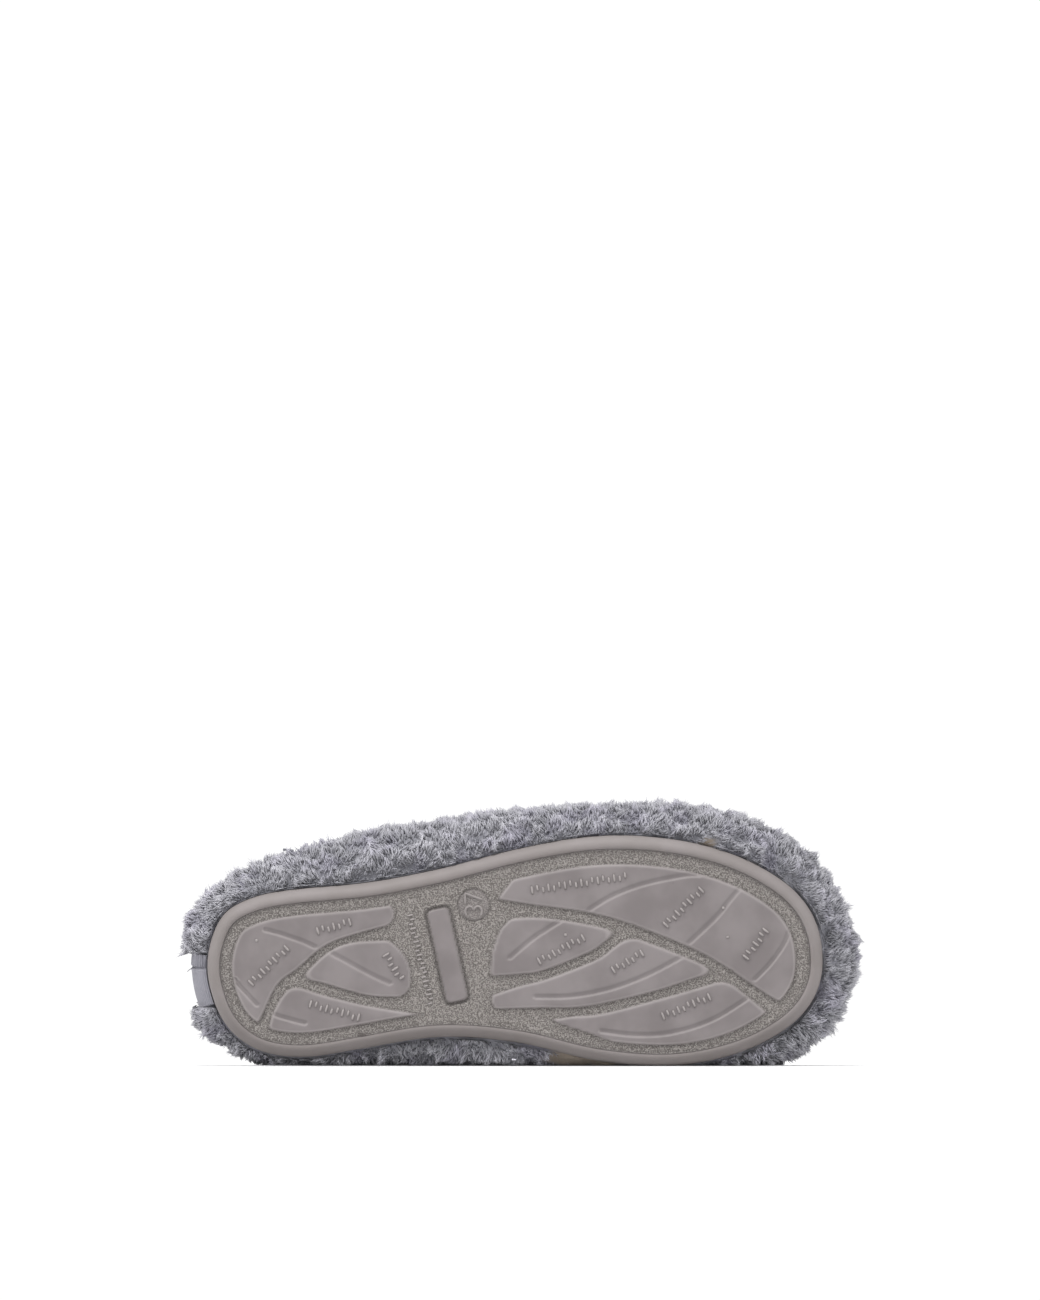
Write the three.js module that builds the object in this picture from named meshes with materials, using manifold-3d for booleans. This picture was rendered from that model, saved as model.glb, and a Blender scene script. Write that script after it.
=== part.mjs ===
import * as THREE from 'three';
import { mergeVertices } from 'three/addons/utils/BufferGeometryUtils.js';
import Module from 'manifold-3d';

const wasm = await Module();
wasm.setup();

// A scuff slipper for the right foot, in millimetres. It is worked out standing up: x runs from
// the heel to the toe, y to the inner side of the foot and z up. At the end it is laid on its side.

// Sole
const soleLength = 246;
const ballWidth = 92.8;
const heelThickness = 12;
const foreThickness = 9.5;
const rimRadius = 5.6;
const topBevel = 1.2;
const toeSpring = 6;
const archLift = 1.2;
const treadDepth = 0.9;
const treadInset = 10.4;
const grooveWidth = 2.2;
const plateLength = 38.4;
const plateWidth = 8.8;
const plateLean = 12;
const sizeRingRadius = 6.3;
const sizeRingWall = 1.6;

// Upper
const toeOverhang = 16.8;
const heelOverhang = 12.6;
const fabricWall = 3.2;
const pileDepth = 8.2;
const lockHeight = 3;
const lowestLock = 0.45 * lockHeight;
const lockLean = 1.8;
const pileSkirtHeight = 5.8;
const pileSkirtOutset = 0.9;
const liningMargin = 3;
const widestHeight = 21;
const insoleThickness = 8;
const insoleCup = 1.6;
const instepHeight = 84;
const roundness = 2.3;

// Topline, as seen from the side
const rimHeight = 27.5;
const wingStart = 34;
const throatPlace = 119;
const wingHandles = [
  { along: 0.62 * throatPlace, height: rimHeight },
  { along: 0.86 * throatPlace, height: 0.72 * instepHeight },
];
const throatTop = 1.04 * instepHeight;

// Trim
const bindingWidth = 4.4;
const tabWidth = 23;
const tabPlace = 6;
const tabThickness = 1.8;
const tabSunk = 5.4;

// Fit and pose
const clearance = 0.3;
const sideLean = 6;
const toeLift = 0.47;

// Spacing of the surfaces
const fieldInsets = [26, 15];
const soleColumns = 58;
const rimSteps = 4;
const ringSides = 20;
const wingCurveSteps = 24;
const halvings = 22;
const pileColumns = 70;
const liningColumns = 48;
const wallRows = 10;
const liningRows = 7;
const skirtRows = 3;
const bindingSteps = 54;
const wingSteps = 12;
const heelSteps = 20;
const heelTurn = 0.7 * Math.PI;
const bindingSides = 6;

// Half widths of the sole and of the pile as shares of ballWidth. A row comes every 15 degrees from
// the toe tip to the heel tip, and the half width is the share times the sine of that angle.
const soleShape = [
  { lateral: 0.90, medial: 0.68 },
  { lateral: 0.79, medial: 0.65 },
  { lateral: 0.705, medial: 0.60 },
  { lateral: 0.66, medial: 0.56 },
  { lateral: 0.62, medial: 0.51 },
  { lateral: 0.57, medial: 0.43 },
  { lateral: 0.495, medial: 0.335 },
  { lateral: 0.425, medial: 0.32 },
  { lateral: 0.41, medial: 0.41 },
  { lateral: 0.47, medial: 0.55 },
  { lateral: 0.58, medial: 0.675 },
  { lateral: 0.715, medial: 0.735 },
  { lateral: 0.67, medial: 0.60 },
];
const pileShape = [
  { lateral: 0.75, medial: 0.69 },
  { lateral: 0.80, medial: 0.70 },
  { lateral: 0.90, medial: 0.73 },
  { lateral: 0.85, medial: 0.69 },
  { lateral: 0.785, medial: 0.59 },
  { lateral: 0.715, medial: 0.525 },
  { lateral: 0.67, medial: 0.50 },
  { lateral: 0.64, medial: 0.505 },
  { lateral: 0.65, medial: 0.57 },
  { lateral: 0.68, medial: 0.665 },
  { lateral: 0.745, medial: 0.76 },
  { lateral: 0.87, medial: 0.92 },
  { lateral: 0.93, medial: 0.98 },
];

// Height of the ridge over the instep, at even steps along the spine from heel to toe, as shares
// of instepHeight.
const ridgeShape = [
  { height: 0.74 },
  { height: 0.88 },
  { height: 0.98 },
  { height: 1.00 },
  { height: 0.93 },
  { height: 0.80 },
  { height: 0.645 },
];
const spineStart = 0.17 * soleLength;
const spineEnd = 0.865 * soleLength;

// Veins of the tread: along as a share of soleLength, lateral as a share of ballWidth from the
// middle line, width in millimetres.
const midrib = [
  { along: 0.460, lateral: 0.240, width: 9.6 },
  { along: 0.527, lateral: 0.234, width: 5.2 },
  { along: 0.605, lateral: 0.207, width: 4.8 },
  { along: 0.672, lateral: 0.162, width: 4.8 },
  { along: 0.769, lateral: 0.063, width: 4.4 },
  { along: 0.828, lateral: -0.018, width: 4.0 },
  { along: 0.903, lateral: -0.164, width: 5.6 },
  { along: 0.950, lateral: -0.255, width: 9.0 },
];
const frontBranch = [
  { along: 0.847, lateral: -0.045, width: 7.2 },
  { along: 0.802, lateral: -0.075, width: 5.2 },
  { along: 0.728, lateral: -0.132, width: 3.6 },
  { along: 0.639, lateral: -0.188, width: 4.0 },
  { along: 0.590, lateral: -0.202, width: 3.6 },
  { along: 0.541, lateral: -0.212, width: 5.6 },
  { along: 0.465, lateral: -0.235, width: 9.0 },
];
const rearBranch = [
  { along: 0.690, lateral: 0.155, width: 5.6 },
  { along: 0.655, lateral: 0.094, width: 4.4 },
  { along: 0.624, lateral: 0.038, width: 4.0 },
  { along: 0.548, lateral: -0.040, width: 3.8 },
  { along: 0.506, lateral: -0.063, width: 4.8 },
  { along: 0.455, lateral: -0.088, width: 8.0 },
];
const heelVein = [
  { along: 0.075, lateral: -0.380, width: 8.0 },
  { along: 0.098, lateral: -0.200, width: 3.8 },
  { along: 0.122, lateral: -0.085, width: 4.4 },
  { along: 0.151, lateral: -0.020, width: 3.6 },
  { along: 0.193, lateral: 0.076, width: 3.0 },
  { along: 0.241, lateral: 0.124, width: 3.2 },
  { along: 0.340, lateral: 0.160, width: 8.8 },
];
const heelBranch = [
  { along: 0.135, lateral: -0.055, width: 5.6 },
  { along: 0.184, lateral: -0.090, width: 5.2 },
  { along: 0.224, lateral: -0.121, width: 4.4 },
  { along: 0.273, lateral: -0.150, width: 4.4 },
  { along: 0.365, lateral: -0.172, width: 8.0 },
];
const veins = [midrib, frontBranch, rearBranch, heelVein, heelBranch];

// Grooves in the pads, in the same shares.
const grooves = [
  [{ along: 0.620, lateral: 0.241 }, { along: 0.693, lateral: 0.331 }, { along: 0.769, lateral: 0.391 }],
  [{ along: 0.863, lateral: 0.322 }, { along: 0.828, lateral: 0.211 }, { along: 0.781, lateral: 0.095 }],
  [{ along: 0.943, lateral: 0.131 }, { along: 0.924, lateral: 0.038 }, { along: 0.888, lateral: -0.066 }],
  [{ along: 0.574, lateral: 0.195 }, { along: 0.530, lateral: 0.122 }, { along: 0.491, lateral: 0.037 }],
  [{ along: 0.533, lateral: -0.132 }, { along: 0.652, lateral: -0.100 }, { along: 0.772, lateral: 0.039 }],
  [{ along: 0.639, lateral: -0.281 }, { along: 0.754, lateral: -0.290 }, { along: 0.878, lateral: -0.144 }],
  [{ along: 0.096, lateral: 0.166 }, { along: 0.135, lateral: 0.135 }, { along: 0.176, lateral: 0.091 }],
  [{ along: 0.205, lateral: 0.060 }, { along: 0.249, lateral: -0.005 }, { along: 0.296, lateral: -0.067 }],
  [{ along: 0.106, lateral: -0.196 }, { along: 0.132, lateral: -0.218 }, { along: 0.158, lateral: -0.236 }],
];

// The stippled waist between the heel pads and the forefoot pads, and what lies on it.
const waist = [
  { along: 0.288, lateral: 0.52 },
  { along: 0.355, lateral: -0.52 },
  { along: 0.468, lateral: -0.52 },
  { along: 0.472, lateral: 0.52 },
];
const platePlace = { along: 0.390, lateral: 0.047 };
const sizeRingPlace = { along: 0.433, lateral: 0.262 };

const wallDepth = fabricWall + pileDepth;
const spineMiddle = (spineStart + spineEnd) / 2;
const spineHalf = (spineEnd - spineStart) / 2;
const springStart = 0.66 * soleLength;
const archStart = 0.3 * soleLength;
const archLength = 0.36 * soleLength;
const heelPartEnd = 0.28 * soleLength;
const forePartStart = 0.62 * soleLength;

// Tables into smooth functions
function curveThrough(rows, column) {
  const curve = new THREE.SplineCurve(rows.map((row, i) => new THREE.Vector2(i, row[column])));
  return (share) => curve.getPoint(Math.min(Math.max(share, 0), 1)).y;
}

const halfWidths = new Map([soleShape, pileShape].map((shape) => [
  shape,
  { lateral: curveThrough(shape, 'lateral'), medial: curveThrough(shape, 'medial') },
]));
const ridgeShare = curveThrough(ridgeShape, 'height');

// Point of an outline at a turn from the toe tip, anticlockwise from above.
function outlinePoint(shape, heelEnd, toeEnd, turn) {
  const side = Math.sin(turn) >= 0 ? 'medial' : 'lateral';
  const share = halfWidths.get(shape)[side](Math.acos(Math.cos(turn)) / Math.PI);
  const x = (heelEnd + toeEnd) / 2 + (toeEnd - heelEnd) / 2 * Math.cos(turn);
  return new THREE.Vector2(x, share * ballWidth * Math.sin(turn));
}

// The same point moved outwards by a distance, square to the outline.
function offsetPoint(shape, heelEnd, toeEnd, turn, distance) {
  const step = 0.02;
  const before = outlinePoint(shape, heelEnd, toeEnd, turn - step);
  const after = outlinePoint(shape, heelEnd, toeEnd, turn + step);
  const along = after.sub(before).normalize();
  const point = outlinePoint(shape, heelEnd, toeEnd, turn);
  return point.add(new THREE.Vector2(along.y, -along.x).multiplyScalar(distance));
}

const solePoint = (turn, distance) => offsetPoint(soleShape, 0, soleLength, turn, distance);
const pilePoint = (turn, distance) => (
  offsetPoint(pileShape, -heelOverhang, soleLength + toeOverhang, turn, distance)
);
const spinePoint = (turn) => new THREE.Vector2(spineMiddle + spineHalf * Math.cos(turn), 0);

// Heights along the shoe
function toeRise(x) {
  const share = Math.max(x - springStart, 0) / (soleLength - springStart);
  return toeSpring * share * share;
}

function underside(x) {
  const share = (x - archStart) / archLength;
  const arch = share > 0 && share < 1 ? archLift * Math.sin(Math.PI * share) ** 2 : 0;
  return toeRise(x) + arch;
}

function soleTop(x) {
  const share = THREE.MathUtils.smoothstep(x, heelPartEnd, forePartStart);
  return toeRise(x) + THREE.MathUtils.lerp(heelThickness, foreThickness, share);
}

function ridgeHeight(x) {
  return instepHeight * ridgeShare((x - spineStart) / (spineEnd - spineStart));
}

// Solids from rings
const lift = (point, z) => new THREE.Vector3(point.x, point.y, z);
const turnsOf = (count) => Array.from({ length: count }, (_, i) => 2 * Math.PI * i / count);
const ringOf = (count, place, height) => turnsOf(count).map((turn) => {
  const point = place(turn);
  return lift(point, height(point.x, turn));
});

// Closed solid between rings of equal count, from the bottom up. The first and last ring lie on
// the spine. With a tip function each cell between two rings is raised to a lock of pile.
function ringGeometry(rings, tip = () => null) {
  const corners = [];
  const face = (...points) => points.forEach((point) => corners.push(point.x, point.y, point.z));
  const count = rings[0].length;
  for (let row = 0; row < rings.length - 1; row++) {
    for (let column = 0; column < count; column++) {
      const next = (column + 1) % count;
      const [a, b] = [rings[row][column], rings[row][next]];
      const [c, d] = [rings[row + 1][next], rings[row + 1][column]];
      const peak = tip(row, column, [a, b, c, d]);
      if (peak) {
        [[a, b], [b, c], [c, d], [d, a]].forEach(([p, q]) => face(p, q, peak));
      } else {
        face(a, b, c);
        face(a, c, d);
      }
    }
  }
  const geometry = new THREE.BufferGeometry();
  geometry.setAttribute('position', new THREE.Float32BufferAttribute(corners, 3));
  return geometry;
}

// Geometry to a solid for joining and cutting, and back
function solidOf(geometry) {
  const bare = geometry.clone();
  bare.deleteAttribute('normal');
  bare.deleteAttribute('uv');
  const merged = mergeVertices(bare, 1e-4);
  return new wasm.Manifold(new wasm.Mesh({
    numProp: 3,
    vertProperties: new Float32Array(merged.attributes.position.array),
    triVerts: new Uint32Array(merged.index.array),
  }));
}

function geometryOf(solid) {
  const mesh = solid.getMesh();
  const geometry = new THREE.BufferGeometry();
  geometry.setAttribute('position', new THREE.BufferAttribute(new Float32Array(mesh.vertProperties), 3));
  geometry.setIndex(new THREE.BufferAttribute(new Uint32Array(mesh.triVerts), 1));
  geometry.computeVertexNormals();
  return geometry;
}

// Upright prism of a flat outline, right through the sole
function prism(points) {
  const shape = new THREE.Shape(points);
  const geometry = new THREE.ExtrudeGeometry(shape, { depth: 3 * heelThickness, bevelEnabled: false });
  return solidOf(geometry.translate(0, 0, -heelThickness));
}

const treadPoint = ({ along, lateral }) => new THREE.Vector2(along * soleLength, -lateral * ballWidth);

// Outline of a stroke of changing width through rows of a table
function strokeOutline(rows, roundEnds) {
  const path = new THREE.SplineCurve(rows.map(treadPoint));
  const widthAt = curveThrough(rows.map((row) => ({ width: row.width ?? grooveWidth })), 'width');
  const steps = (rows.length - 1) * 2;
  const left = [];
  const right = [];
  for (let i = 0; i <= steps; i++) {
    const share = i / steps;
    const point = path.getPoint(share);
    const along = path.getTangent(share);
    const side = new THREE.Vector2(-along.y, along.x).multiplyScalar(widthAt(share) / 2);
    left.push(point.clone().add(side));
    right.unshift(point.clone().sub(side));
    if (roundEnds && i === steps) left.push(point.clone().addScaledVector(along, grooveWidth / 2));
    if (roundEnds && i === 0) right.push(point.clone().addScaledVector(along, -grooveWidth / 2));
  }
  return [...left, ...right];
}

// Sole
const quarter = (steps) => Array.from({ length: steps + 1 }, (_, i) => i / steps * Math.PI / 2);

function soleBody(grow) {
  const rings = [ringOf(soleColumns, spinePoint, underside)];
  fieldInsets.forEach((inset) => {
    rings.push(ringOf(soleColumns, (turn) => solePoint(turn, -inset), underside));
  });
  quarter(rimSteps).forEach((angle) => {
    const inset = grow - rimRadius * (1 - Math.sin(angle));
    const height = rimRadius * (1 - Math.cos(angle)) - grow * Math.cos(angle);
    rings.push(ringOf(soleColumns, (turn) => solePoint(turn, inset), (x) => underside(x) + height));
  });
  rings.push(ringOf(soleColumns, (turn) => solePoint(turn, grow), (x) => soleTop(x) + grow - topBevel));
  rings.push(ringOf(soleColumns, (turn) => solePoint(turn, grow - topBevel), (x) => soleTop(x) + grow));
  rings.push(ringOf(soleColumns, spinePoint, (x) => soleTop(x) + grow));
  return solidOf(ringGeometry(rings));
}

function treadPads() {
  const field = prism(turnsOf(soleColumns).map((turn) => solePoint(turn, -treadInset)));
  const cuts = [
    prism(waist.map(treadPoint)),
    ...veins.map((rows) => prism(strokeOutline(rows, false))),
    ...grooves.map((rows) => prism(strokeOutline(rows, true))),
  ];
  return cuts.reduce((pads, cut) => pads.subtract(cut), field);
}

function blankPlate() {
  const half = new THREE.Vector2(plateWidth / 2, plateLength / 2);
  const lean = THREE.MathUtils.degToRad(plateLean);
  const centre = treadPoint(platePlace);
  const corners = [[-1, -1], [1, -1], [1, 1], [-1, 1]].map(([a, b]) => (
    new THREE.Vector2(a * half.x, b * half.y).rotateAround(new THREE.Vector2(), -lean).add(centre)
  ));
  return prism(corners);
}

function sizeRing() {
  const circle = (radius) => turnsOf(ringSides).map((turn) => (
    new THREE.Vector2(Math.cos(turn), Math.sin(turn)).multiplyScalar(radius).add(treadPoint(sizeRingPlace))
  ));
  return prism(circle(sizeRingRadius)).subtract(prism(circle(sizeRingRadius - sizeRingWall)));
}

// The hollow of the tread follows the underside at treadDepth inside the rounded rim.
function treadHollow() {
  const edge = (turn) => solePoint(turn, -rimRadius);
  const floor = (x) => underside(x) + treadDepth;
  const field = fieldInsets.map((inset) => ringOf(soleColumns, (turn) => solePoint(turn, -inset), floor));
  const rings = [
    ringOf(soleColumns, spinePoint, () => -heelThickness),
    ringOf(soleColumns, edge, () => -heelThickness),
    ringOf(soleColumns, edge, floor),
    ...field.reverse(),
    ringOf(soleColumns, spinePoint, floor),
  ];
  const raised = treadPads().add(blankPlate()).add(sizeRing());
  return solidOf(ringGeometry(rings)).subtract(raised);
}

// Surface of the upper at a depth under the tips of the pile. A wall point has a rise from 0 at the
// widest line to 1 on the ridge, and a skirt point a drop from 0 there to 1 at the sole.
const widestLine = (x) => widestHeight + toeRise(Math.min(x, soleLength));

function wallPoint(depth, turn, rise) {
  const outer = pilePoint(turn, -depth);
  const spine = spinePoint(turn);
  const angle = rise * Math.PI / 2;
  const inward = 1 - Math.cos(angle) ** (2 / roundness);
  const upward = Math.sin(angle) ** (2 / roundness);
  const low = widestLine(outer.x);
  const high = ridgeHeight(spine.x) - depth;
  return lift(outer.lerp(spine, inward), THREE.MathUtils.lerp(low, high, upward));
}

function skirtFoot(depth, x) {
  const pileFoot = toeRise(x) + pileSkirtHeight;
  return THREE.MathUtils.lerp(pileFoot, soleTop(x) - clearance, depth / wallDepth);
}

function skirtPoint(depth, turn, drop) {
  const outer = pilePoint(turn, -depth);
  const outset = THREE.MathUtils.lerp(pileSkirtOutset, -liningMargin, depth / wallDepth);
  const foot = solePoint(turn, outset);
  const angle = drop * Math.PI / 2;
  const outward = Math.cos(angle);
  const height = THREE.MathUtils.lerp(widestLine(outer.x), skirtFoot(depth, foot.x), Math.sin(angle));
  return lift(foot.lerp(outer, outward), height);
}

function domeRings(depth, count, rows) {
  const turns = turnsOf(count);
  const skirt = Array.from({ length: skirtRows + 1 }, (_, i) => 1 - i / skirtRows);
  const wall = Array.from({ length: rows }, (_, i) => (i + 1) / rows);
  return [
    ringOf(count, spinePoint, (x) => skirtFoot(depth, x)),
    ...skirt.map((drop) => turns.map((turn) => skirtPoint(depth, turn, drop))),
    ...wall.map((rise) => turns.map((turn) => wallPoint(depth, turn, rise))),
  ];
}

const lining = (depth) => solidOf(ringGeometry(domeRings(depth, liningColumns, liningRows)));

// Uneven but repeatable share between 0 and 1
function unevenness(row, column, seed) {
  const wave = Math.sin(row * 12.9898 + column * 78.233 + seed * 37.719) * 43758.5453;
  return wave - Math.floor(wave);
}

function lockTip(row, column, cell) {
  if (row === 0) return null;
  const sum = cell.reduce((total, point) => total.add(point), new THREE.Vector3());
  const centre = sum.divideScalar(cell.length);
  const across = cell[2].clone().sub(cell[0]);
  const along = cell[3].clone().sub(cell[1]);
  const outward = across.clone().cross(along).normalize();
  if (outward.lengthSq() < 0.5) return null;
  const height = THREE.MathUtils.lerp(lowestLock, lockHeight, unevenness(row, column, 1));
  const lean = new THREE.Vector3(
    unevenness(row, column, 2) - 0.5,
    unevenness(row, column, 3) - 0.5,
    unevenness(row, column, 4) - 0.5,
  );
  return centre.addScaledVector(outward, height).addScaledVector(lean, 2 * lockLean);
}

const wingCurve = new THREE.CubicBezierCurve(
  new THREE.Vector2(wingStart, rimHeight),
  ...wingHandles.map(({ along, height }) => new THREE.Vector2(along, height)),
  new THREE.Vector2(throatPlace, throatTop),
);

// Everything above the topline, cut from side to side
function aboveTopline() {
  const far = 2 * instepHeight;
  const shape = new THREE.Shape();
  shape.moveTo(-far, rimHeight);
  wingCurve.getPoints(wingCurveSteps).forEach((point) => shape.lineTo(point.x, point.y));
  shape.lineTo(throatPlace, far);
  shape.lineTo(-far, far);
  const depth = 2 * ballWidth;
  const geometry = new THREE.ExtrudeGeometry(shape, { depth, bevelEnabled: false });
  geometry.translate(0, 0, -depth / 2);
  return solidOf(geometry.rotateX(Math.PI / 2));
}

// Share between 0 and 1 at which a rising test turns false
function shareWhere(below) {
  let [low, high] = [0, 1];
  for (let i = 0; i < halvings; i++) {
    const share = (low + high) / 2;
    if (below(share)) low = share;
    else high = share;
  }
  return low;
}

// Height of the topline over a place along the shoe
function toplineHeight(x) {
  if (x <= wingStart) return rimHeight;
  return wingCurve.getPoint(shareWhere((share) => wingCurve.getPoint(share).x < x)).y;
}

// Topline on the wall at a depth, round the heel by the turn of the outline
function heelPoint(depth, turn) {
  const rise = shareWhere((share) => {
    const point = wallPoint(depth, turn, share);
    return point.z < toplineHeight(point.x);
  });
  return wallPoint(depth, turn, rise);
}

// The same along the wings by the place along the shoe, where side is 1 inside and -1 outside
function wingPoint(depth, x, side) {
  const pointAt = (rise) => {
    const share = shareWhere((part) => wallPoint(depth, part * Math.PI, rise).x > x);
    return wallPoint(depth, side * share * Math.PI, rise);
  };
  return pointAt(shareWhere((rise) => pointAt(rise).z < toplineHeight(x)));
}

// Round piping along the whole topline, over the fabric wall, its points closest at the throat
function bindingGeometry(radius) {
  const depth = wallDepth - fabricWall / 2;
  const throatShare = shareWhere((share) => {
    const x = share * throatPlace;
    return x < spineStart || toplineHeight(x) < ridgeHeight(x) - depth;
  });
  const throat = throatShare * throatPlace;
  const reach = throat - heelPoint(depth, heelTurn).x;
  const steps = Array.from({ length: wingSteps }, (_, i) => throat - reach * (i / wingSteps) ** 2);
  const inner = steps.map((x) => wingPoint(depth, x, 1));
  const outer = steps.slice(1).reverse().map((x) => wingPoint(depth, x, -1));
  const heel = Array.from({ length: heelSteps + 1 }, (_, i) => (
    heelPoint(depth, THREE.MathUtils.lerp(heelTurn, 2 * Math.PI - heelTurn, i / heelSteps))
  ));
  const path = new THREE.CatmullRomCurve3([...inner, ...heel, ...outer], true, 'centripetal');
  return new THREE.TubeGeometry(path, bindingSteps, radius, bindingSides, true);
}

// What a cut leaves loose falls away, and the largest body stays.
function largestBody(solid) {
  return solid.decompose().sort((a, b) => b.volume() - a.volume())[0];
}

// Strip at the centre back, grown on every side by the clearance where it cuts its own seat
function heelTab(grow) {
  const outer = lining(grow > 0 ? 0 : tabSunk);
  const inner = lining(tabSunk + tabThickness + grow);
  const width = tabWidth + 2 * grow;
  const gate = new THREE.BoxGeometry(2 * heelOverhang, width, 2 * instepHeight);
  return outer.subtract(inner).intersect(solidOf(gate.translate(-heelOverhang / 2, tabPlace, 0)));
}

function footbedSpace() {
  const edge = (turn) => pilePoint(turn, 0);
  const top = (x) => soleTop(x) + clearance + insoleThickness;
  const rings = [
    ringOf(liningColumns, spinePoint, (x) => top(x) - insoleCup),
    ringOf(liningColumns, edge, (x) => top(x) + insoleCup),
    ringOf(liningColumns, edge, () => 2 * instepHeight),
    ringOf(liningColumns, spinePoint, () => 2 * instepHeight),
  ];
  return solidOf(ringGeometry(rings));
}

// The floor as a thick block, placed where it lies once the shoe is laid on its side
const laid = new THREE.Group();
laid.rotation.set(THREE.MathUtils.degToRad(-90 + sideLean), THREE.MathUtils.degToRad(-toeLift), 0, 'YXZ');
laid.updateMatrix();

const outsole = soleBody(0).subtract(treadHollow());
const soleBounds = new THREE.Box3().setFromBufferAttribute(
  geometryOf(outsole).applyMatrix4(laid.matrix).attributes.position,
);

function floorBlock() {
  const deep = instepHeight;
  const block = new THREE.BoxGeometry(3 * soleLength, 3 * soleLength, deep);
  block.translate(0, 0, soleBounds.min.z - deep / 2);
  return solidOf(block.applyMatrix4(laid.matrix.clone().invert()));
}

const soleSeat = soleBody(clearance);
const cavity = lining(wallDepth);
const opening = aboveTopline();
const bindingSeat = solidOf(bindingGeometry(bindingWidth / 2 + clearance));
const pile = solidOf(ringGeometry(domeRings(lockHeight, pileColumns, wallRows), lockTip));
const upper = largestBody([cavity, soleSeat, opening, bindingSeat, heelTab(clearance), floorBlock()]
  .reduce((rest, cut) => rest.subtract(cut), pile));
const insole = lining(wallDepth + clearance)
  .subtract(footbedSpace())
  .subtract(soleSeat);
const tab = heelTab(0)
  .subtract(opening)
  .subtract(soleSeat);

function piece(name, geometry, color, roughness) {
  const material = new THREE.MeshStandardMaterial({ color, roughness, metalness: 0 });
  const mesh = new THREE.Mesh(geometry, material);
  mesh.name = name;
  return mesh;
}

const soleGroup = new THREE.Group();
soleGroup.add(piece('outsole', geometryOf(outsole), 0x8a8181, 0.75));

const upperGroup = new THREE.Group();
upperGroup.add(piece('upper', geometryOf(upper), 0x92919a, 0.95));
upperGroup.add(piece('insole', geometryOf(insole), 0x8b8a92, 0.95));
upperGroup.add(piece('collar_binding', bindingGeometry(bindingWidth / 2), 0x6d6c74, 0.9));
upperGroup.add(piece('heel_tab', geometryOf(tab), 0x7d8290, 0.9));

// The origin is under the middle of the whole slipper, on the floor.
laid.add(soleGroup, upperGroup);
const bounds = new THREE.Box3().setFromObject(laid, true);
const centre = bounds.getCenter(new THREE.Vector3());
laid.position.set(-centre.x, -centre.y, -bounds.min.z);

const slipper = new THREE.Group();
slipper.add(laid);

export default slipper;
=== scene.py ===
import math

import bmesh
import bpy
import numpy as np
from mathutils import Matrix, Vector


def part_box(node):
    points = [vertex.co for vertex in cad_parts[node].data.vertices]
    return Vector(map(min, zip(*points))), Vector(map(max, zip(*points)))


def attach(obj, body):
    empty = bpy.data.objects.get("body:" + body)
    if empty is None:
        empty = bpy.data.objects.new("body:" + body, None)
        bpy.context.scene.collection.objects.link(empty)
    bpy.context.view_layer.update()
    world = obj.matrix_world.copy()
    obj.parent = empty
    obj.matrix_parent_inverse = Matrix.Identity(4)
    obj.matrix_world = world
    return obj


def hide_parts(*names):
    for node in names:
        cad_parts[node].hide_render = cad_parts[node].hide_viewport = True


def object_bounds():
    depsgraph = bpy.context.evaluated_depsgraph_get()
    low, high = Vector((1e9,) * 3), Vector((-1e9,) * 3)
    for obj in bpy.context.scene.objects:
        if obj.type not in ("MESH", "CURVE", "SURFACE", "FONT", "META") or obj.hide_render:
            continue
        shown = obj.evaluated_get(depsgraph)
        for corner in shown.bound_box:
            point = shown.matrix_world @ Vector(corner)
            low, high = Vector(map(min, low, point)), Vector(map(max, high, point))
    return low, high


# A scuff slipper of the right foot, lying on its inner side with its tread to the camera.
# Surfaces are worked out standing up, in millimetres: x from heel to toe, y to the inner side
# of the foot, z up from the tread. layDown then puts them where the frame has them, in metres.

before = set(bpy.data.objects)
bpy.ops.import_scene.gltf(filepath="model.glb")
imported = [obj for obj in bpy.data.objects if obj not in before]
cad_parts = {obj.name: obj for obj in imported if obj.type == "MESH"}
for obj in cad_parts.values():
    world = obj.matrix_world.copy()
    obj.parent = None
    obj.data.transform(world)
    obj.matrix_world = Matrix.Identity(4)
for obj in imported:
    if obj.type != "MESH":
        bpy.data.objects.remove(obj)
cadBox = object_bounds()
print("frame loaded")

shoe = {
    "soleLength": 246.0, "ballWidth": 92.8, "heelThickness": 12.0, "foreThickness": 9.5,
    "toeSpring": 6.0, "archLift": 1.2, "treadDepth": 0.9, "toeOverhang": 16.8, "heelOverhang": 12.6,
    "wallDepth": 11.4, "fabricWall": 3.2, "widestHeight": 21.0, "instepHeight": 84.0,
    "roundness": 2.3, "rimHeight": 27.5, "wingStart": 34.0, "throatPlace": 119.0,
    "skirtHeight": 5.8, "skirtOutset": 0.9, "liningMargin": 3.0, "clearance": 0.3,
    "rimRadius": 5.6, "topBevel": 1.2, "sideLean": 6.0, "toeLift": 0.47,
}
metre = 0.001
pixelSize = 0.4  # millimetres of the sole to one pixel of the photograph
heelPixel = {"x": 207.0, "y": 966.0, "slope": 0.0081}
spineStart = 0.17 * shoe["soleLength"]
spineEnd = 0.865 * shoe["soleLength"]
ridgeRise = 0.9999  # the upper is closed where its limit lies above this

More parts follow.
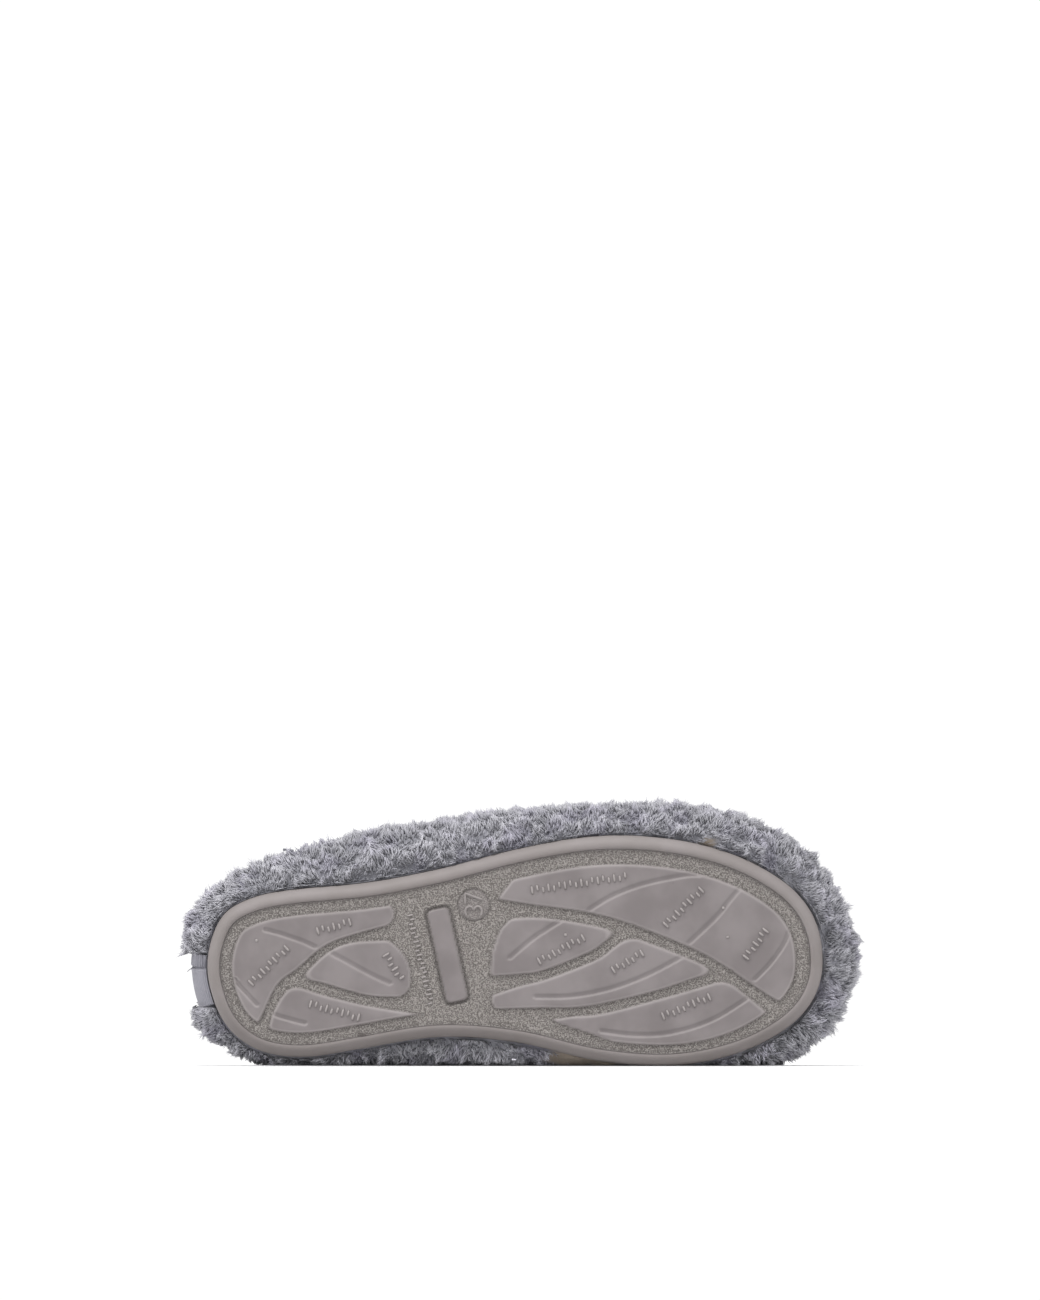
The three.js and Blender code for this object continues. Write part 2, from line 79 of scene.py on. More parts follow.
# Half widths every 15 degrees from the toe tip to the heel tip, as shares of ballWidth over the sine
soleShape = {
    "lateral": [0.90, 0.79, 0.705, 0.66, 0.62, 0.57, 0.495, 0.425, 0.41, 0.47, 0.58, 0.715, 0.67],
    "medial": [0.68, 0.65, 0.60, 0.56, 0.51, 0.43, 0.335, 0.32, 0.41, 0.55, 0.675, 0.735, 0.60],
}
pileShape = {
    "lateral": [0.75, 0.80, 0.90, 0.85, 0.785, 0.715, 0.67, 0.64, 0.65, 0.68, 0.745, 0.87, 0.93],
    "medial": [0.69, 0.70, 0.73, 0.69, 0.59, 0.525, 0.50, 0.505, 0.57, 0.665, 0.76, 0.92, 0.98],
}
ridgeShape = [0.74, 0.88, 0.98, 1.00, 0.93, 0.80, 0.645]


# Smooth curve through evenly spaced values: a cubic between each two, its slope at each value
# half the difference of that value's neighbours
def curveThrough(values, share):
    values = np.asarray(values, float)
    last = len(values) - 1
    place = np.clip(share, 0, 1) * last
    index = np.minimum(place.astype(int), last - 1)
    part = place - index
    start, end = values[index], values[index + 1]
    startSlope = (end - values[np.maximum(index - 1, 0)]) / 2
    endSlope = (values[np.minimum(index + 2, last)] - start) / 2
    cubic = 2 * start - 2 * end + startSlope + endSlope
    square = 3 * end - 3 * start - 2 * startSlope - endSlope
    return ((cubic * part + square) * part + startSlope) * part + start


def smoothStep(low, high, value):
    part = np.clip((value - low) / (high - low), 0, 1)
    return part * part * (3 - 2 * part)


def blendOf(start, end, share):
    return start + (end - start) * share


def fullTurn(steps):
    return np.linspace(0, 2 * math.pi, steps, endpoint=False)


# Two close values between which a test stops holding, by halving the range again and again
def halveRange(holds, low, high, times):
    for _ in range(times):
        middle = (low + high) / 2
        below = holds(middle)
        low, high = np.where(below, middle, low), np.where(below, high, middle)
    return low, high


# Point of an outline at a turn: x runs on a cosine from toe to heel, y is share times sine
def outlinePoint(shape, heelEnd, toeEnd, turn):
    share = np.arccos(np.clip(np.cos(turn), -1, 1)) / math.pi
    inner, outer = curveThrough(shape["medial"], share), curveThrough(shape["lateral"], share)
    half = np.where(np.sin(turn) >= 0, inner, outer) * shoe["ballWidth"] * np.sin(turn)
    return np.stack([(heelEnd + toeEnd) / 2 + (toeEnd - heelEnd) / 2 * np.cos(turn), half], -1)


# The same point moved outwards by a distance, square to the outline
def offsetPoint(shape, heelEnd, toeEnd, turn, distance):
    step = 0.02
    ahead = outlinePoint(shape, heelEnd, toeEnd, turn + step)
    behind = outlinePoint(shape, heelEnd, toeEnd, turn - step)
    along = ahead - behind
    along = along / np.linalg.norm(along, axis=-1, keepdims=True)
    outward = np.stack([along[..., 1], -along[..., 0]], -1)
    return outlinePoint(shape, heelEnd, toeEnd, turn) + outward * np.asarray(distance)[..., None]


def solePoint(turn, distance):
    return offsetPoint(soleShape, 0.0, shoe["soleLength"], turn, distance)


def pilePoint(turn, distance):
    toeEnd = shoe["soleLength"] + shoe["toeOverhang"]
    return offsetPoint(pileShape, -shoe["heelOverhang"], toeEnd, turn, distance)


def spinePoint(turn):
    x = (spineStart + spineEnd) / 2 + (spineEnd - spineStart) / 2 * np.cos(turn)
    return np.stack([x, np.zeros_like(x)], -1)


# Heights along the shoe: the toe rises as a parabola, the arch as a squared sine
def toeRise(x):
    start = 0.66 * shoe["soleLength"]
    return shoe["toeSpring"] * (np.maximum(x - start, 0) / (shoe["soleLength"] - start)) ** 2


def underside(x):
    share = np.clip((x / shoe["soleLength"] - 0.3) / 0.36, 0, 1)
    return toeRise(x) + shoe["archLift"] * np.sin(math.pi * share) ** 2


def soleTop(x):
    share = smoothStep(0.28 * shoe["soleLength"], 0.62 * shoe["soleLength"], x)
    return toeRise(x) + blendOf(shoe["heelThickness"], shoe["foreThickness"], share)


def ridgeHeight(x):
    return shoe["instepHeight"] * curveThrough(ridgeShape, (x - spineStart) / (spineEnd - spineStart))


def widestLine(x):
    return shoe["widestHeight"] + toeRise(np.minimum(x, shoe["soleLength"]))


# Upper at a depth under the tips of its pile. rise runs from -1 at the sole, over 0 on the widest
# line, to 1 on the ridge: below it is a quarter ellipse, above it a superellipse.
def upperPoint(depth, turn, rise):
    depth, turn, rise = np.broadcast_arrays(np.asarray(depth, float), turn, rise)
    outer = pilePoint(turn, -depth)
    spine = spinePoint(turn)
    wallAngle = np.clip(rise, 0, 1) * math.pi / 2
    power = 2 / shoe["roundness"]
    inward = 1 - np.cos(wallAngle) ** power
    upward = np.sin(wallAngle) ** power
    low = widestLine(outer[..., 0])
    wallZ = blendOf(low, ridgeHeight(spine[..., 0]) - depth, upward)
    wallXY = blendOf(outer, spine, inward[..., None])
    part = depth / shoe["wallDepth"]
    foot = solePoint(turn, blendOf(shoe["skirtOutset"], -shoe["liningMargin"], part))
    footZ = blendOf(
        toeRise(foot[..., 0]) + shoe["skirtHeight"], soleTop(foot[..., 0]) - shoe["clearance"], part
    )
    skirtAngle = np.clip(-rise, 0, 1) * math.pi / 2
    skirtXY = blendOf(foot, outer, np.cos(skirtAngle)[..., None])
    skirtZ = blendOf(low, footZ, np.sin(skirtAngle))
    above = rise >= 0
    return np.concatenate([
        np.where(above[..., None], wallXY, skirtXY), np.where(above, wallZ, skirtZ)[..., None]
    ], -1)


# Topline seen from the side: level round the heel, then a cubic curve up to the throat
def toplineHeight(x):
    t = np.linspace(0, 1, 200)
    throat, instep = shoe["throatPlace"], shoe["instepHeight"]
    ends = [(shoe["wingStart"], shoe["rimHeight"]), (0.62 * throat, shoe["rimHeight"]),
            (0.86 * throat, 0.72 * instep), (throat, 1.04 * instep)]
    weights = [(1 - t) ** 3, 3 * t * (1 - t) ** 2, 3 * t * t * (1 - t), t ** 3]
    curveX = sum(weight * end[0] for weight, end in zip(weights, ends))
    curveZ = sum(weight * end[1] for weight, end in zip(weights, ends))
    return np.interp(x, curveX, curveZ, left=shoe["rimHeight"], right=4 * instep)


# Rise at which the upper meets the topline, or 1 where it closes over the foot
def riseLimit(depth, turn):
    def isBelow(rise):
        point = upperPoint(depth, turn, rise)
        return point[..., 2] < toplineHeight(point[..., 0])

    low, high = halveRange(isBelow, np.zeros_like(turn), np.ones_like(turn), 22)
    return np.where(high > ridgeRise, 1.0, low)


# Random values on a cubic lattice, blended between its corners, from -1 to 1
def softNoise(points, cell, seed):
    lattice = np.random.default_rng(seed).random((32, 32, 32)) * 2 - 1
    place = points / cell
    corner = np.floor(place).astype(int)
    part = place - corner
    part = part * part * (3 - 2 * part)
    total = np.zeros(points.shape[:-1])
    for step in np.ndindex(2, 2, 2):
        weight = np.prod(np.where(np.array(step) == 1, part, 1 - part), -1)
        index = (corner + np.array(step)) % 32
        total += weight * lattice[index[..., 0], index[..., 1], index[..., 2]]
    return total


# Faces of a grid of points, which may close on itself either way
def gridFaces(rows, columns, closeRows=False, closeColumns=False):
    row = np.arange(rows if closeRows else rows - 1)[:, None]
    column = np.arange(columns if closeColumns else columns - 1)[None, :]
    nextRow, nextColumn = (row + 1) % rows, (column + 1) % columns
    corners = [row * columns + column, row * columns + nextColumn,
               nextRow * columns + nextColumn, nextRow * columns + column]
    return np.stack(np.broadcast_arrays(*corners), -1).reshape(-1, 4)


def unit(vectors):
    return vectors / np.maximum(np.linalg.norm(vectors, axis=-1, keepdims=True), 1e-9)


# Unit directions along a path
def pathDirections(path, closed):
    return unit(np.roll(path, -1, 0) - np.roll(path, 1, 0) if closed else np.gradient(path, axis=0))


# Round section carried along a path, with its ends closed or the path closed
def tubeAlong(path, radius, sides, closed=False, up=(0.0, 0.0, 1.0)):
    along = pathDirections(path, closed)
    side = unit(np.cross(along, np.asarray(up)))
    over = np.cross(side, along)
    angle = fullTurn(sides)
    radius = np.broadcast_to(np.asarray(radius, float), (len(path), sides))
    ring = side[:, None] * np.cos(angle)[None, :, None] + over[:, None] * np.sin(angle)[None, :, None]
    points = path[:, None] + ring * radius[..., None]
    faces = [gridFaces(len(path), sides, closeRows=closed, closeColumns=True)]
    points = points.reshape(-1, 3)
    if not closed:
        ends = np.stack([path[0], path[-1]])
        first = np.arange(sides)
        last = first + (len(path) - 1) * sides
        tips = len(points)
        faces.append(np.stack([np.full(sides, tips), np.roll(first, -1), first], -1))
        faces.append(np.stack([np.full(sides, tips + 1), last, np.roll(last, -1)], -1))
        points = np.concatenate([points, ends])
    return points, faces


# Rotation that lays the shoe on its inner side and lifts the toe a little
def laidTurn():
    roll, lift = math.radians(-90 + shoe["sideLean"]), math.radians(-shoe["toeLift"])
    aboutX = np.array([[1, 0, 0], [0, math.cos(roll), -math.sin(roll)], [0, math.sin(roll), math.cos(roll)]])
    aboutY = np.array([[math.cos(lift), 0, math.sin(lift)], [0, 1, 0], [-math.sin(lift), 0, math.cos(lift)]])
    return aboutY @ aboutX


# The sole's own rims, turned, are set on the sole's box in the frame, which gives the shift
def laidShift():
    turn = fullTurn(720)
    bevel, radius = shoe["topBevel"], shoe["rimRadius"]
    rims = []
    for level, inset, height in [(soleTop, 0.0, -bevel), (soleTop, -bevel, 0.0),
                                 (underside, 0.0, radius), (underside, -radius, 0.0)]:
        ring = solePoint(turn, inset)
        rims.append(np.column_stack([ring, level(ring[:, 0]) + height]))
    turned = np.concatenate(rims) @ laidTurn().T * metre
    soleLow, soleHigh = (np.array(corner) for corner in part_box("outsole"))
    middle = (soleLow + soleHigh) / 2 - (turned.min(0) + turned.max(0)) / 2
    middle[2] = soleLow[2] - turned[:, 2].min()
    return middle


turnMatrix, shift = laidTurn(), laidShift()
print("shift of the upright shoe, in metres:", shift.round(5))


def layDown(points):
    return points @ turnMatrix.T * metre + shift


# Millimetres on the upright sole for shares of its length and width
def sharePlace(along, lateral):
    return np.array([along * shoe["soleLength"], -lateral * shoe["ballWidth"]])


# Millimetres on the upright sole for a pixel of the photograph
def solePlace(pixelX, pixelY):
    along = (pixelX - heelPixel["x"]) * pixelSize
    lateral = (heelPixel["y"] - pixelY) * pixelSize - heelPixel["slope"] * along
    return np.array([along, -lateral])


def signedVolume(points, faces):
    total = 0.0
    for group in faces:
        for k in range(1, group.shape[1] - 1):
            a, b, c = points[group[:, 0]], points[group[:, k]], points[group[:, k + 1]]
            total += np.einsum("ij,ij->i", a, np.cross(b, c)).sum()
    return total


# Mesh object from upright points, its faces turned outwards, riding on the one body. It is laid
# down, and pressed flat where it would come lower than the height press.
def makePiece(name, upright, faces, material, values, merge=0.0, replaces=(), press=-1.0):
    points = layDown(upright)
    points[:, 2] = np.maximum(points[:, 2], press)
    centred = points - points.mean(0)
    if signedVolume(centred, faces) < 0:
        faces = [group[:, ::-1] for group in faces]
    corners = np.concatenate([group.ravel() for group in faces]).astype(np.int32)
    sizes = np.concatenate([np.full(len(group), group.shape[1]) for group in faces]).astype(np.int32)
    mesh = bpy.data.meshes.new(name)
    mesh.vertices.add(len(points))
    mesh.vertices.foreach_set("co", points.astype(np.float32).ravel())
    mesh.loops.add(len(corners))
    mesh.loops.foreach_set("vertex_index", corners)
    mesh.polygons.add(len(sizes))
    mesh.polygons.foreach_set("loop_start", np.concatenate([[0], np.cumsum(sizes)[:-1]]).astype(np.int32))
    mesh.polygons.foreach_set("loop_total", sizes)
    mesh.update(calc_edges=True)
    mesh.polygons.foreach_set("use_smooth", np.ones(len(sizes), bool))
    for key, value in values.items():
        mesh.attributes.new(key, "FLOAT", "POINT").data.foreach_set("value", value.astype(np.float32))
    if merge:
        work = bmesh.new()
        work.from_mesh(mesh)
        bmesh.ops.remove_doubles(work, verts=work.verts, dist=merge)
        bmesh.ops.dissolve_degenerate(work, edges=work.edges, dist=1e-6)
        work.to_mesh(mesh)
        work.free()
    mesh.materials.append(material)
    piece = bpy.data.objects.new(name, mesh)
    bpy.context.scene.collection.objects.link(piece)
    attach(piece, "root")
    if replaces:
        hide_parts(*replaces)
    print(name, "has", sum(len(g) * (g.shape[1] - 2) for g in faces), "triangles")
    return piece


# A node's output socket with the usual operators: values add Math nodes
class Value:
    def __init__(self, shader, socket):
        self.shader = shader
        self.socket = socket

    def maths(self, operation, first, second):
        return self.shader.add("ShaderNodeMath", {"operation": operation}, {0: first, 1: second})

    def __add__(self, other):
        return self.maths("ADD", self, other)

    def __radd__(self, other):
        return self.maths("ADD", other, self)

    def __sub__(self, other):
        return self.maths("SUBTRACT", self, other)

    def __rsub__(self, other):
        return self.maths("SUBTRACT", other, self)

    def __mul__(self, other):
        return self.maths("MULTIPLY", self, other)

    def __rmul__(self, other):
        return self.maths("MULTIPLY", other, self)


# A material with one Principled shader, and one method that adds every other node
class Shader:
    def __init__(self, name, **constants):
        self.material = bpy.data.materials.new(name)
        self.material.use_nodes = True
        self.nodes = self.material.node_tree.nodes
        self.links = self.material.node_tree.links
        self.nodes.clear()
        output = self.nodes.new("ShaderNodeOutputMaterial")
        self.surface = self.nodes.new("ShaderNodeBsdfPrincipled")
        self.links.new(self.surface.outputs[0], output.inputs[0])
        for key, value in constants.items():
            self.surface.inputs[key.replace("_", " ")].default_value = value

    def add(self, kind, settings=None, inputs=None, out=0):
        node = self.nodes.new(kind)
        for key, value in (settings or {}).items():
            setattr(node, key, value)
        for key, value in (inputs or {}).items():
            self.feed(node.inputs[key], value)
        return Value(self, node.outputs[out])

    def feed(self, socket, value):
        if isinstance(value, Value):
            self.links.new(value.socket, socket)
        else:
            socket.default_value = value

    def set(self, **inputs):
        for key, value in inputs.items():
            self.feed(self.surface.inputs[key.replace("_", " ")], value)

    def objectPlace(self):
        return self.add("ShaderNodeTexCoord", out="Object")

    def attribute(self, name):
        return self.add("ShaderNodeAttribute", {"attribute_name": name}, out="Fac")

    def stretched(self, vector, scale):
        return self.add("ShaderNodeMapping", None, {"Vector": vector, "Scale": scale})

    def noise(self, vector, scale, detail=2.0, roughness=0.5):
        return self.add("ShaderNodeTexNoise", None, {
            "Vector": vector, "Scale": scale, "Detail": detail, "Roughness": roughness})

    def ramp(self, value, low, high, start=0.0, end=1.0):
        return self.add("ShaderNodeMapRange", {"interpolation_type": "SMOOTHSTEP"}, {
            "Value": value, "From Min": low, "From Max": high, "To Min": start, "To Max": end})

    def mix(self, factor, first, second, blend="MIX"):
        return self.add("ShaderNodeMix", {"data_type": "RGBA", "blend_type": blend}, {
            0: factor, 6: first, 7: second}, out=2)

    def tones(self, factor, dark, light):
        return self.mix(factor, tint(*dark), tint(*light))

    def bump(self, height, distance, strength=1.0):
        return self.add("ShaderNodeBump", None, {
            "Height": height, "Distance": distance, "Strength": strength})


# Colour as a screen shows it, 0 to 255, to the linear colour that a shader takes
def tint(red, green, blue):
    shares = [channel / 255 for channel in (red, green, blue)]
    return tuple(s / 12.92 if s <= 0.04045 else ((s + 0.055) / 1.055) ** 2.4 for s in shares) + (1.0,)


# Camera: square to the tread but for the lean of the shoe, because it stops at the floor
cameraSettings = {
    "distance": 2.0, "height": 0.012, "aimPixelX": 518.5, "aimPixelY": 932.0,
    "frameWidth": 1040, "frameHeight": 1300, "sensor": 36.0,
}


def makeCamera():
    s = cameraSettings
    pixel = pixelSize * metre
    data = bpy.data.cameras.new("camera")
    data.sensor_width = s["sensor"]
    data.lens = s["sensor"] * s["distance"] / (s["frameHeight"] * pixel)
    data.clip_end = 50.0
    camera = bpy.data.objects.new("camera", data)
    bpy.context.scene.collection.objects.link(camera)
    middleZ = (cadBox[0].z + cadBox[1].z) / 2
    below = (s["aimPixelY"] - s["frameHeight"] / 2) * pixel
    pitch = math.atan((middleZ - s["height"]) / s["distance"]) + math.atan(below / s["distance"])
    soleLow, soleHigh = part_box("outsole")
    sideways = (s["frameWidth"] / 2 - s["aimPixelX"]) * pixel
    camera.location = (sideways, (soleLow.y + soleHigh.y) / 2 - s["distance"], s["height"])
    camera.rotation_euler = (math.pi / 2 + pitch, 0.0, 0.0)
    bpy.context.scene.camera = camera
    print("camera placed, pitch in degrees:", round(math.degrees(pitch), 2))


# Sole: moulded rubber
soleSettings = {
    "stations": 420, "across": 176, "padEdge": 0.5, "grooveWidth": 2.2, "grooveDepth": 0.5,
    "bandHeel": 10.0, "bandOuter": 11.2, "bandInner": 8.9,
    "plateLength": 37.8, "plateWidth": 8.8, "plateLean": 12.0, "platePlace": (0.390, 0.047),
    "plateGroove": 1.1, "ringRadius": 6.3, "ringPlace": (0.433, 0.262),
    "ribLength": 3.7, "ribWidth": 1.0, "ribHeight": 0.62, "ribPitch": 2.2,
    "studWidth": 1.3, "studHeight": 0.3,
    "cornerRadius": 1.0, "roundRadius": 4.5, "padGrow": 0.25, "dip": 0.42,
}

# Veins between the pads: along in soleLength, lateral in ballWidth, width in millimetres
veins = {
    "midrib": {"along": [0.460, 0.527, 0.605, 0.672, 0.769, 0.828, 0.903, 0.950],
               "lateral": [0.240, 0.234, 0.207, 0.162, 0.063, -0.018, -0.164, -0.255],
               "width": [9.6, 5.2, 4.8, 4.8, 4.4, 4.0, 5.6, 9.0]},
    "frontBranch": {"along": [0.847, 0.802, 0.728, 0.639, 0.590, 0.541, 0.465],
                    "lateral": [-0.045, -0.075, -0.132, -0.188, -0.202, -0.212, -0.235],
                    "width": [3.0, 4.2, 3.6, 4.0, 3.6, 5.6, 9.0]},
    "rearBranch": {"along": [0.690, 0.655, 0.624, 0.548, 0.506, 0.455],
                   "lateral": [0.155, 0.094, 0.038, -0.040, -0.063, -0.088],
                   "width": [3.0, 4.0, 4.0, 3.8, 4.8, 8.0]},
    "heelVein": {"along": [0.075, 0.098, 0.122, 0.151, 0.193, 0.241, 0.340],
                 "lateral": [-0.380, -0.200, -0.085, -0.020, 0.076, 0.124, 0.160],
                 "width": [8.0, 3.8, 4.4, 3.6, 3.0, 3.2, 8.8]},
    "heelBranch": {"along": [0.135, 0.184, 0.224, 0.273, 0.365],
                   "lateral": [-0.055, -0.090, -0.121, -0.150, -0.172],
                   "width": [3.0, 4.6, 4.4, 4.4, 8.0]},
}
grooves = [
    {"along": [0.620, 0.660, 0.712, 0.775, 0.800], "lateral": [0.241, 0.303, 0.352, 0.384, 0.386]},
    {"along": [0.863, 0.845, 0.828, 0.804, 0.781], "lateral": [0.322, 0.268, 0.211, 0.150, 0.095]},
    {"along": [0.943, 0.936, 0.924, 0.908, 0.888], "lateral": [0.131, 0.086, 0.038, -0.014, -0.066]},
    {"along": [0.574, 0.552, 0.530, 0.510, 0.491], "lateral": [0.195, 0.160, 0.122, 0.080, 0.037]},
    {"along": [0.533, 0.590, 0.652, 0.714, 0.772], "lateral": [-0.132, -0.130, -0.100, -0.040, 0.039]},
    {"along": [0.639, 0.695, 0.754, 0.818, 0.878], "lateral": [-0.281, -0.299, -0.290, -0.238, -0.144]},
    {"along": [0.096, 0.116, 0.135, 0.156, 0.176], "lateral": [0.166, 0.152, 0.135, 0.115, 0.091]},
    {"along": [0.205, 0.227, 0.249, 0.272, 0.296], "lateral": [0.060, 0.028, -0.005, -0.037, -0.067]},
    {"along": [0.106, 0.119, 0.132, 0.145, 0.158], "lateral": [-0.196, -0.208, -0.218, -0.228, -0.236]},
    {"along": [0.046, 0.054, 0.063, 0.072, 0.081], "lateral": [-0.049, -0.077, -0.103, -0.130, -0.155]},
]

# Ends of the pads towards the waist, in pixels of the photograph from top to bottom
forefootEdge = {
    "pixelY": [870, 885, 898, 908, 914, 920, 927, 935, 949, 960,
               970, 990, 1000, 1006, 1010, 1014, 1022, 1030, 1045],
    "pixelX": [518, 507, 497, 517, 513, 507, 500.5, 496.5, 492, 490.5,
               490, 490.5, 491, 493, 512, 543, 560, 585, 625],
}
heelEdge = {
    "pixelY": [890, 898, 903, 908, 914, 919, 924, 937, 941, 946, 952, 960,
               969, 980, 986, 990, 994, 997, 1008, 1011, 1014, 1018, 1030],
    "pixelX": [380, 388, 391, 393.5, 394, 392, 387, 386, 392, 398, 403, 407.5,
               410, 410, 408.5, 405.5, 400, 392, 411, 421, 424, 412, 384],
}

# Where rows of short plain ribs stand in the pads: pixel, lean in degrees, count and size. The last
# row stands in the waist.
ribRows = [
    (334, 924, 15, 7, 1.0), (269, 963, 44, 10, 1.0), (393, 964, -58, 6, 1.0), (334, 1008, -16, 10, 1.0),
    (578, 881, 8, 18, 1.0), (682, 905, 44, 10, 1.0), (754, 942, 53, 7, 1.0), (560, 947, 28, 10, 1.0),
    (626, 959, 30, 7, 1.0), (684, 1004, 22, 10, 1.0), (420, 957, -77, 21, 0.82),
]
studs = [(257, 938), (722, 906), (726, 935), (564.5, 932.5)]

# Spots, in pixels, where the corners of the pads are rounder
roundCorners = [(704, 971), (722, 984), (612, 931), (628, 939), (309, 975), (292, 988)]

# Small dark marks on the stippled band: pixel, half sizes in millimetres and strength
dirtSpots = [(361, 1031.5, 3.2, 1.3, 0.85), (672.5, 881, 0.4, 0.4, 0.6)]


def treadLine(rows, steps):
    share = np.linspace(0, 1, steps)
    x = curveThrough(rows["along"], share) * shoe["soleLength"]
    y = -curveThrough(rows["lateral"], share) * shoe["ballWidth"]
    width = curveThrough(rows.get("width", [soleSettings["grooveWidth"]] * 2), share)
    return np.column_stack([x, y]), width / 2


# Distance from points to a line of changing width, negative inside it, and how far a point lies
# to the toe and inner side of its middle
def lineDistance(points, path, half):
    best = np.full(len(points), 1e9)
    sideways = np.zeros(len(points))
    for i in range(len(path) - 1):
        step = path[i + 1] - path[i]
        share = np.clip((points - path[i]) @ step / (step @ step), 0, 1)
        away = points - path[i] - share[:, None] * step
        distance = np.hypot(away[:, 0], away[:, 1]) - blendOf(half[i], half[i + 1], share)
        across = np.array([-step[1], step[0]]) / np.hypot(*step)
        across = across * np.sign(across @ np.array([0.6, 0.8]))
        nearer = distance < best
        best = np.where(nearer, distance, best)
        sideways = np.where(nearer, away @ across, sideways)
    return best, sideways


# Distance to the inside of a rectangle with round corners
def rectangleDistance(points, centre, half, lean, corner):
    turn = math.radians(lean)
    away = points - centre
    x = np.abs(away[:, 0] * math.cos(turn) - away[:, 1] * math.sin(turn)) - half[0] + corner
    y = np.abs(away[:, 0] * math.sin(turn) + away[:, 1] * math.cos(turn)) - half[1] + corner
    outside = np.hypot(np.maximum(x, 0), np.maximum(y, 0))
    return outside + np.minimum(np.maximum(x, y), 0) - corner


# Smaller of two distances, with the corner between them rounded by a radius
def softMin(first, second, radius):
    part = np.clip(0.5 + 0.5 * (second - first) / radius, 0, 1)
    return blendOf(second, first, part) - radius * part * (1 - part)


def edgePlace(rows, pixelY):
    return (np.interp(pixelY, rows["pixelY"], rows["pixelX"]) - heelPixel["x"]) * pixelSize


# How far a point lies inside the pads, away from the rim band, the veins and the waist
def padDistance(points, edge):
    s = soleSettings
    x, y = points[:, 0], points[:, 1]
    fore = smoothStep(0.36 * shoe["soleLength"], 0.5 * shoe["soleLength"], x)
    inner = smoothStep(-8.0, 12.0, y) * smoothStep(0.97, 0.8, x / shoe["soleLength"])
    inside = edge - blendOf(s["bandHeel"], blendOf(s["bandOuter"], s["bandInner"], inner), fore)
    corner = np.full(len(points), s["cornerRadius"])
    for spot in roundCorners:
        away = np.hypot(*(points - solePlace(*spot)).T)
        corner = np.maximum(corner, s["roundRadius"] * smoothStep(6.5, 3.0, away))
    for rows in veins.values():
        path, half = treadLine(rows, 12 * len(rows["along"]))
        inside = softMin(inside, lineDistance(points, path, half)[0], corner)
    pixelY = heelPixel["y"] - (heelPixel["slope"] * x - y) / pixelSize
    foreX, heelX = edgePlace(forefootEdge, pixelY), edgePlace(heelEdge, pixelY)
    waist = np.where(x > (foreX + heelX) / 2, x - foreX, heelX - x)
    return softMin(inside, waist, s["cornerRadius"]) + s["padGrow"]


# Relief of the tread: pads stand treadDepth above the stippled floor, grooves slope down to one
# sharp side, and the plate and the ring lie in trenches. With it come three masks: smooth rubber,
# painted shadow in what is sunk, and painted highlight on the pads' edges and one side of each groove.
def treadRelief(points):
    s = soleSettings
    turn = np.linspace(0, 2 * math.pi, 241)
    edge, _ = lineDistance(points, solePoint(turn, 0.0), np.zeros(len(turn)))
    inside = padDistance(points, edge)
    pad = smoothStep(-0.1, s["padEdge"] + 0.1, inside)
    crown = 0.12 * smoothStep(2.2, 0.2, inside) * pad
    relief = shoe["treadDepth"] * pad - crown
    dip = np.maximum(smoothStep(-1.3, -0.3, inside) * (1 - pad), smoothStep(7.0, 6.0, edge))
    relief = relief - s["dip"] * dip
    # painted shadow in the sunk stipple beside the pads and inside the rim
    shadow = 0.4 * dip
    # painted highlight along the pads' edges
    light = smoothStep(0.2, 0.6, inside) * smoothStep(1.5, 0.9, inside)
    for rows in grooves:
        path, half = treadLine(rows, 24)
        distance, sideways = lineDistance(points, path, half)
        slope = 0.25 + 0.75 * smoothStep(-1.0, 0.8, sideways / half[0])
        relief = relief - s["grooveDepth"] * slope * smoothStep(0.0, -0.45, distance) * pad
        # painted glint along the groove's lit side and round its end
        paintedGlint = smoothStep(0.6, 0.2, np.abs(distance - 0.05)) * smoothStep(-0.5, 0.5, sideways / half[0])
        light = np.maximum(light, paintedGlint * pad)
        # painted shadow along the foot of the groove's shaded side
        foot = smoothStep(0.7, 0.2, np.abs(distance + 0.5)) * smoothStep(0.2, -0.7, sideways / half[0])
        shadow = np.maximum(shadow, 0.28 * foot * pad)
    plateHalf = (s["plateWidth"] / 2, s["plateLength"] / 2)
    plate = rectangleDistance(points, sharePlace(*s["platePlace"]), plateHalf, s["plateLean"], 2.0)
    plateMask = smoothStep(0.35, -0.5, plate)
    relief = np.maximum(relief, 0.55 * plateMask)
    trench = smoothStep(s["plateGroove"], 0.1, np.abs(plate - 0.5))
    relief = relief - 0.55 * trench
    # painted shadow in the plate's trench
    shadow = np.maximum(shadow, 1.15 * trench)
    radius = np.hypot(*(points - sharePlace(*s["ringPlace"])).T)
    disc = smoothStep(0.3, -0.3, radius - s["ringRadius"])
    ring = smoothStep(0.6, 0.1, np.abs(radius - s["ringRadius"]))
    # painted shadow in the ring's groove
    shadow = np.maximum(shadow, 0.9 * ring)
    relief = relief - 0.35 * ring + 0.12 * disc
    smooth = np.maximum(np.maximum(pad, plateMask), 0.4 * disc)
    return relief, smooth, shadow, light
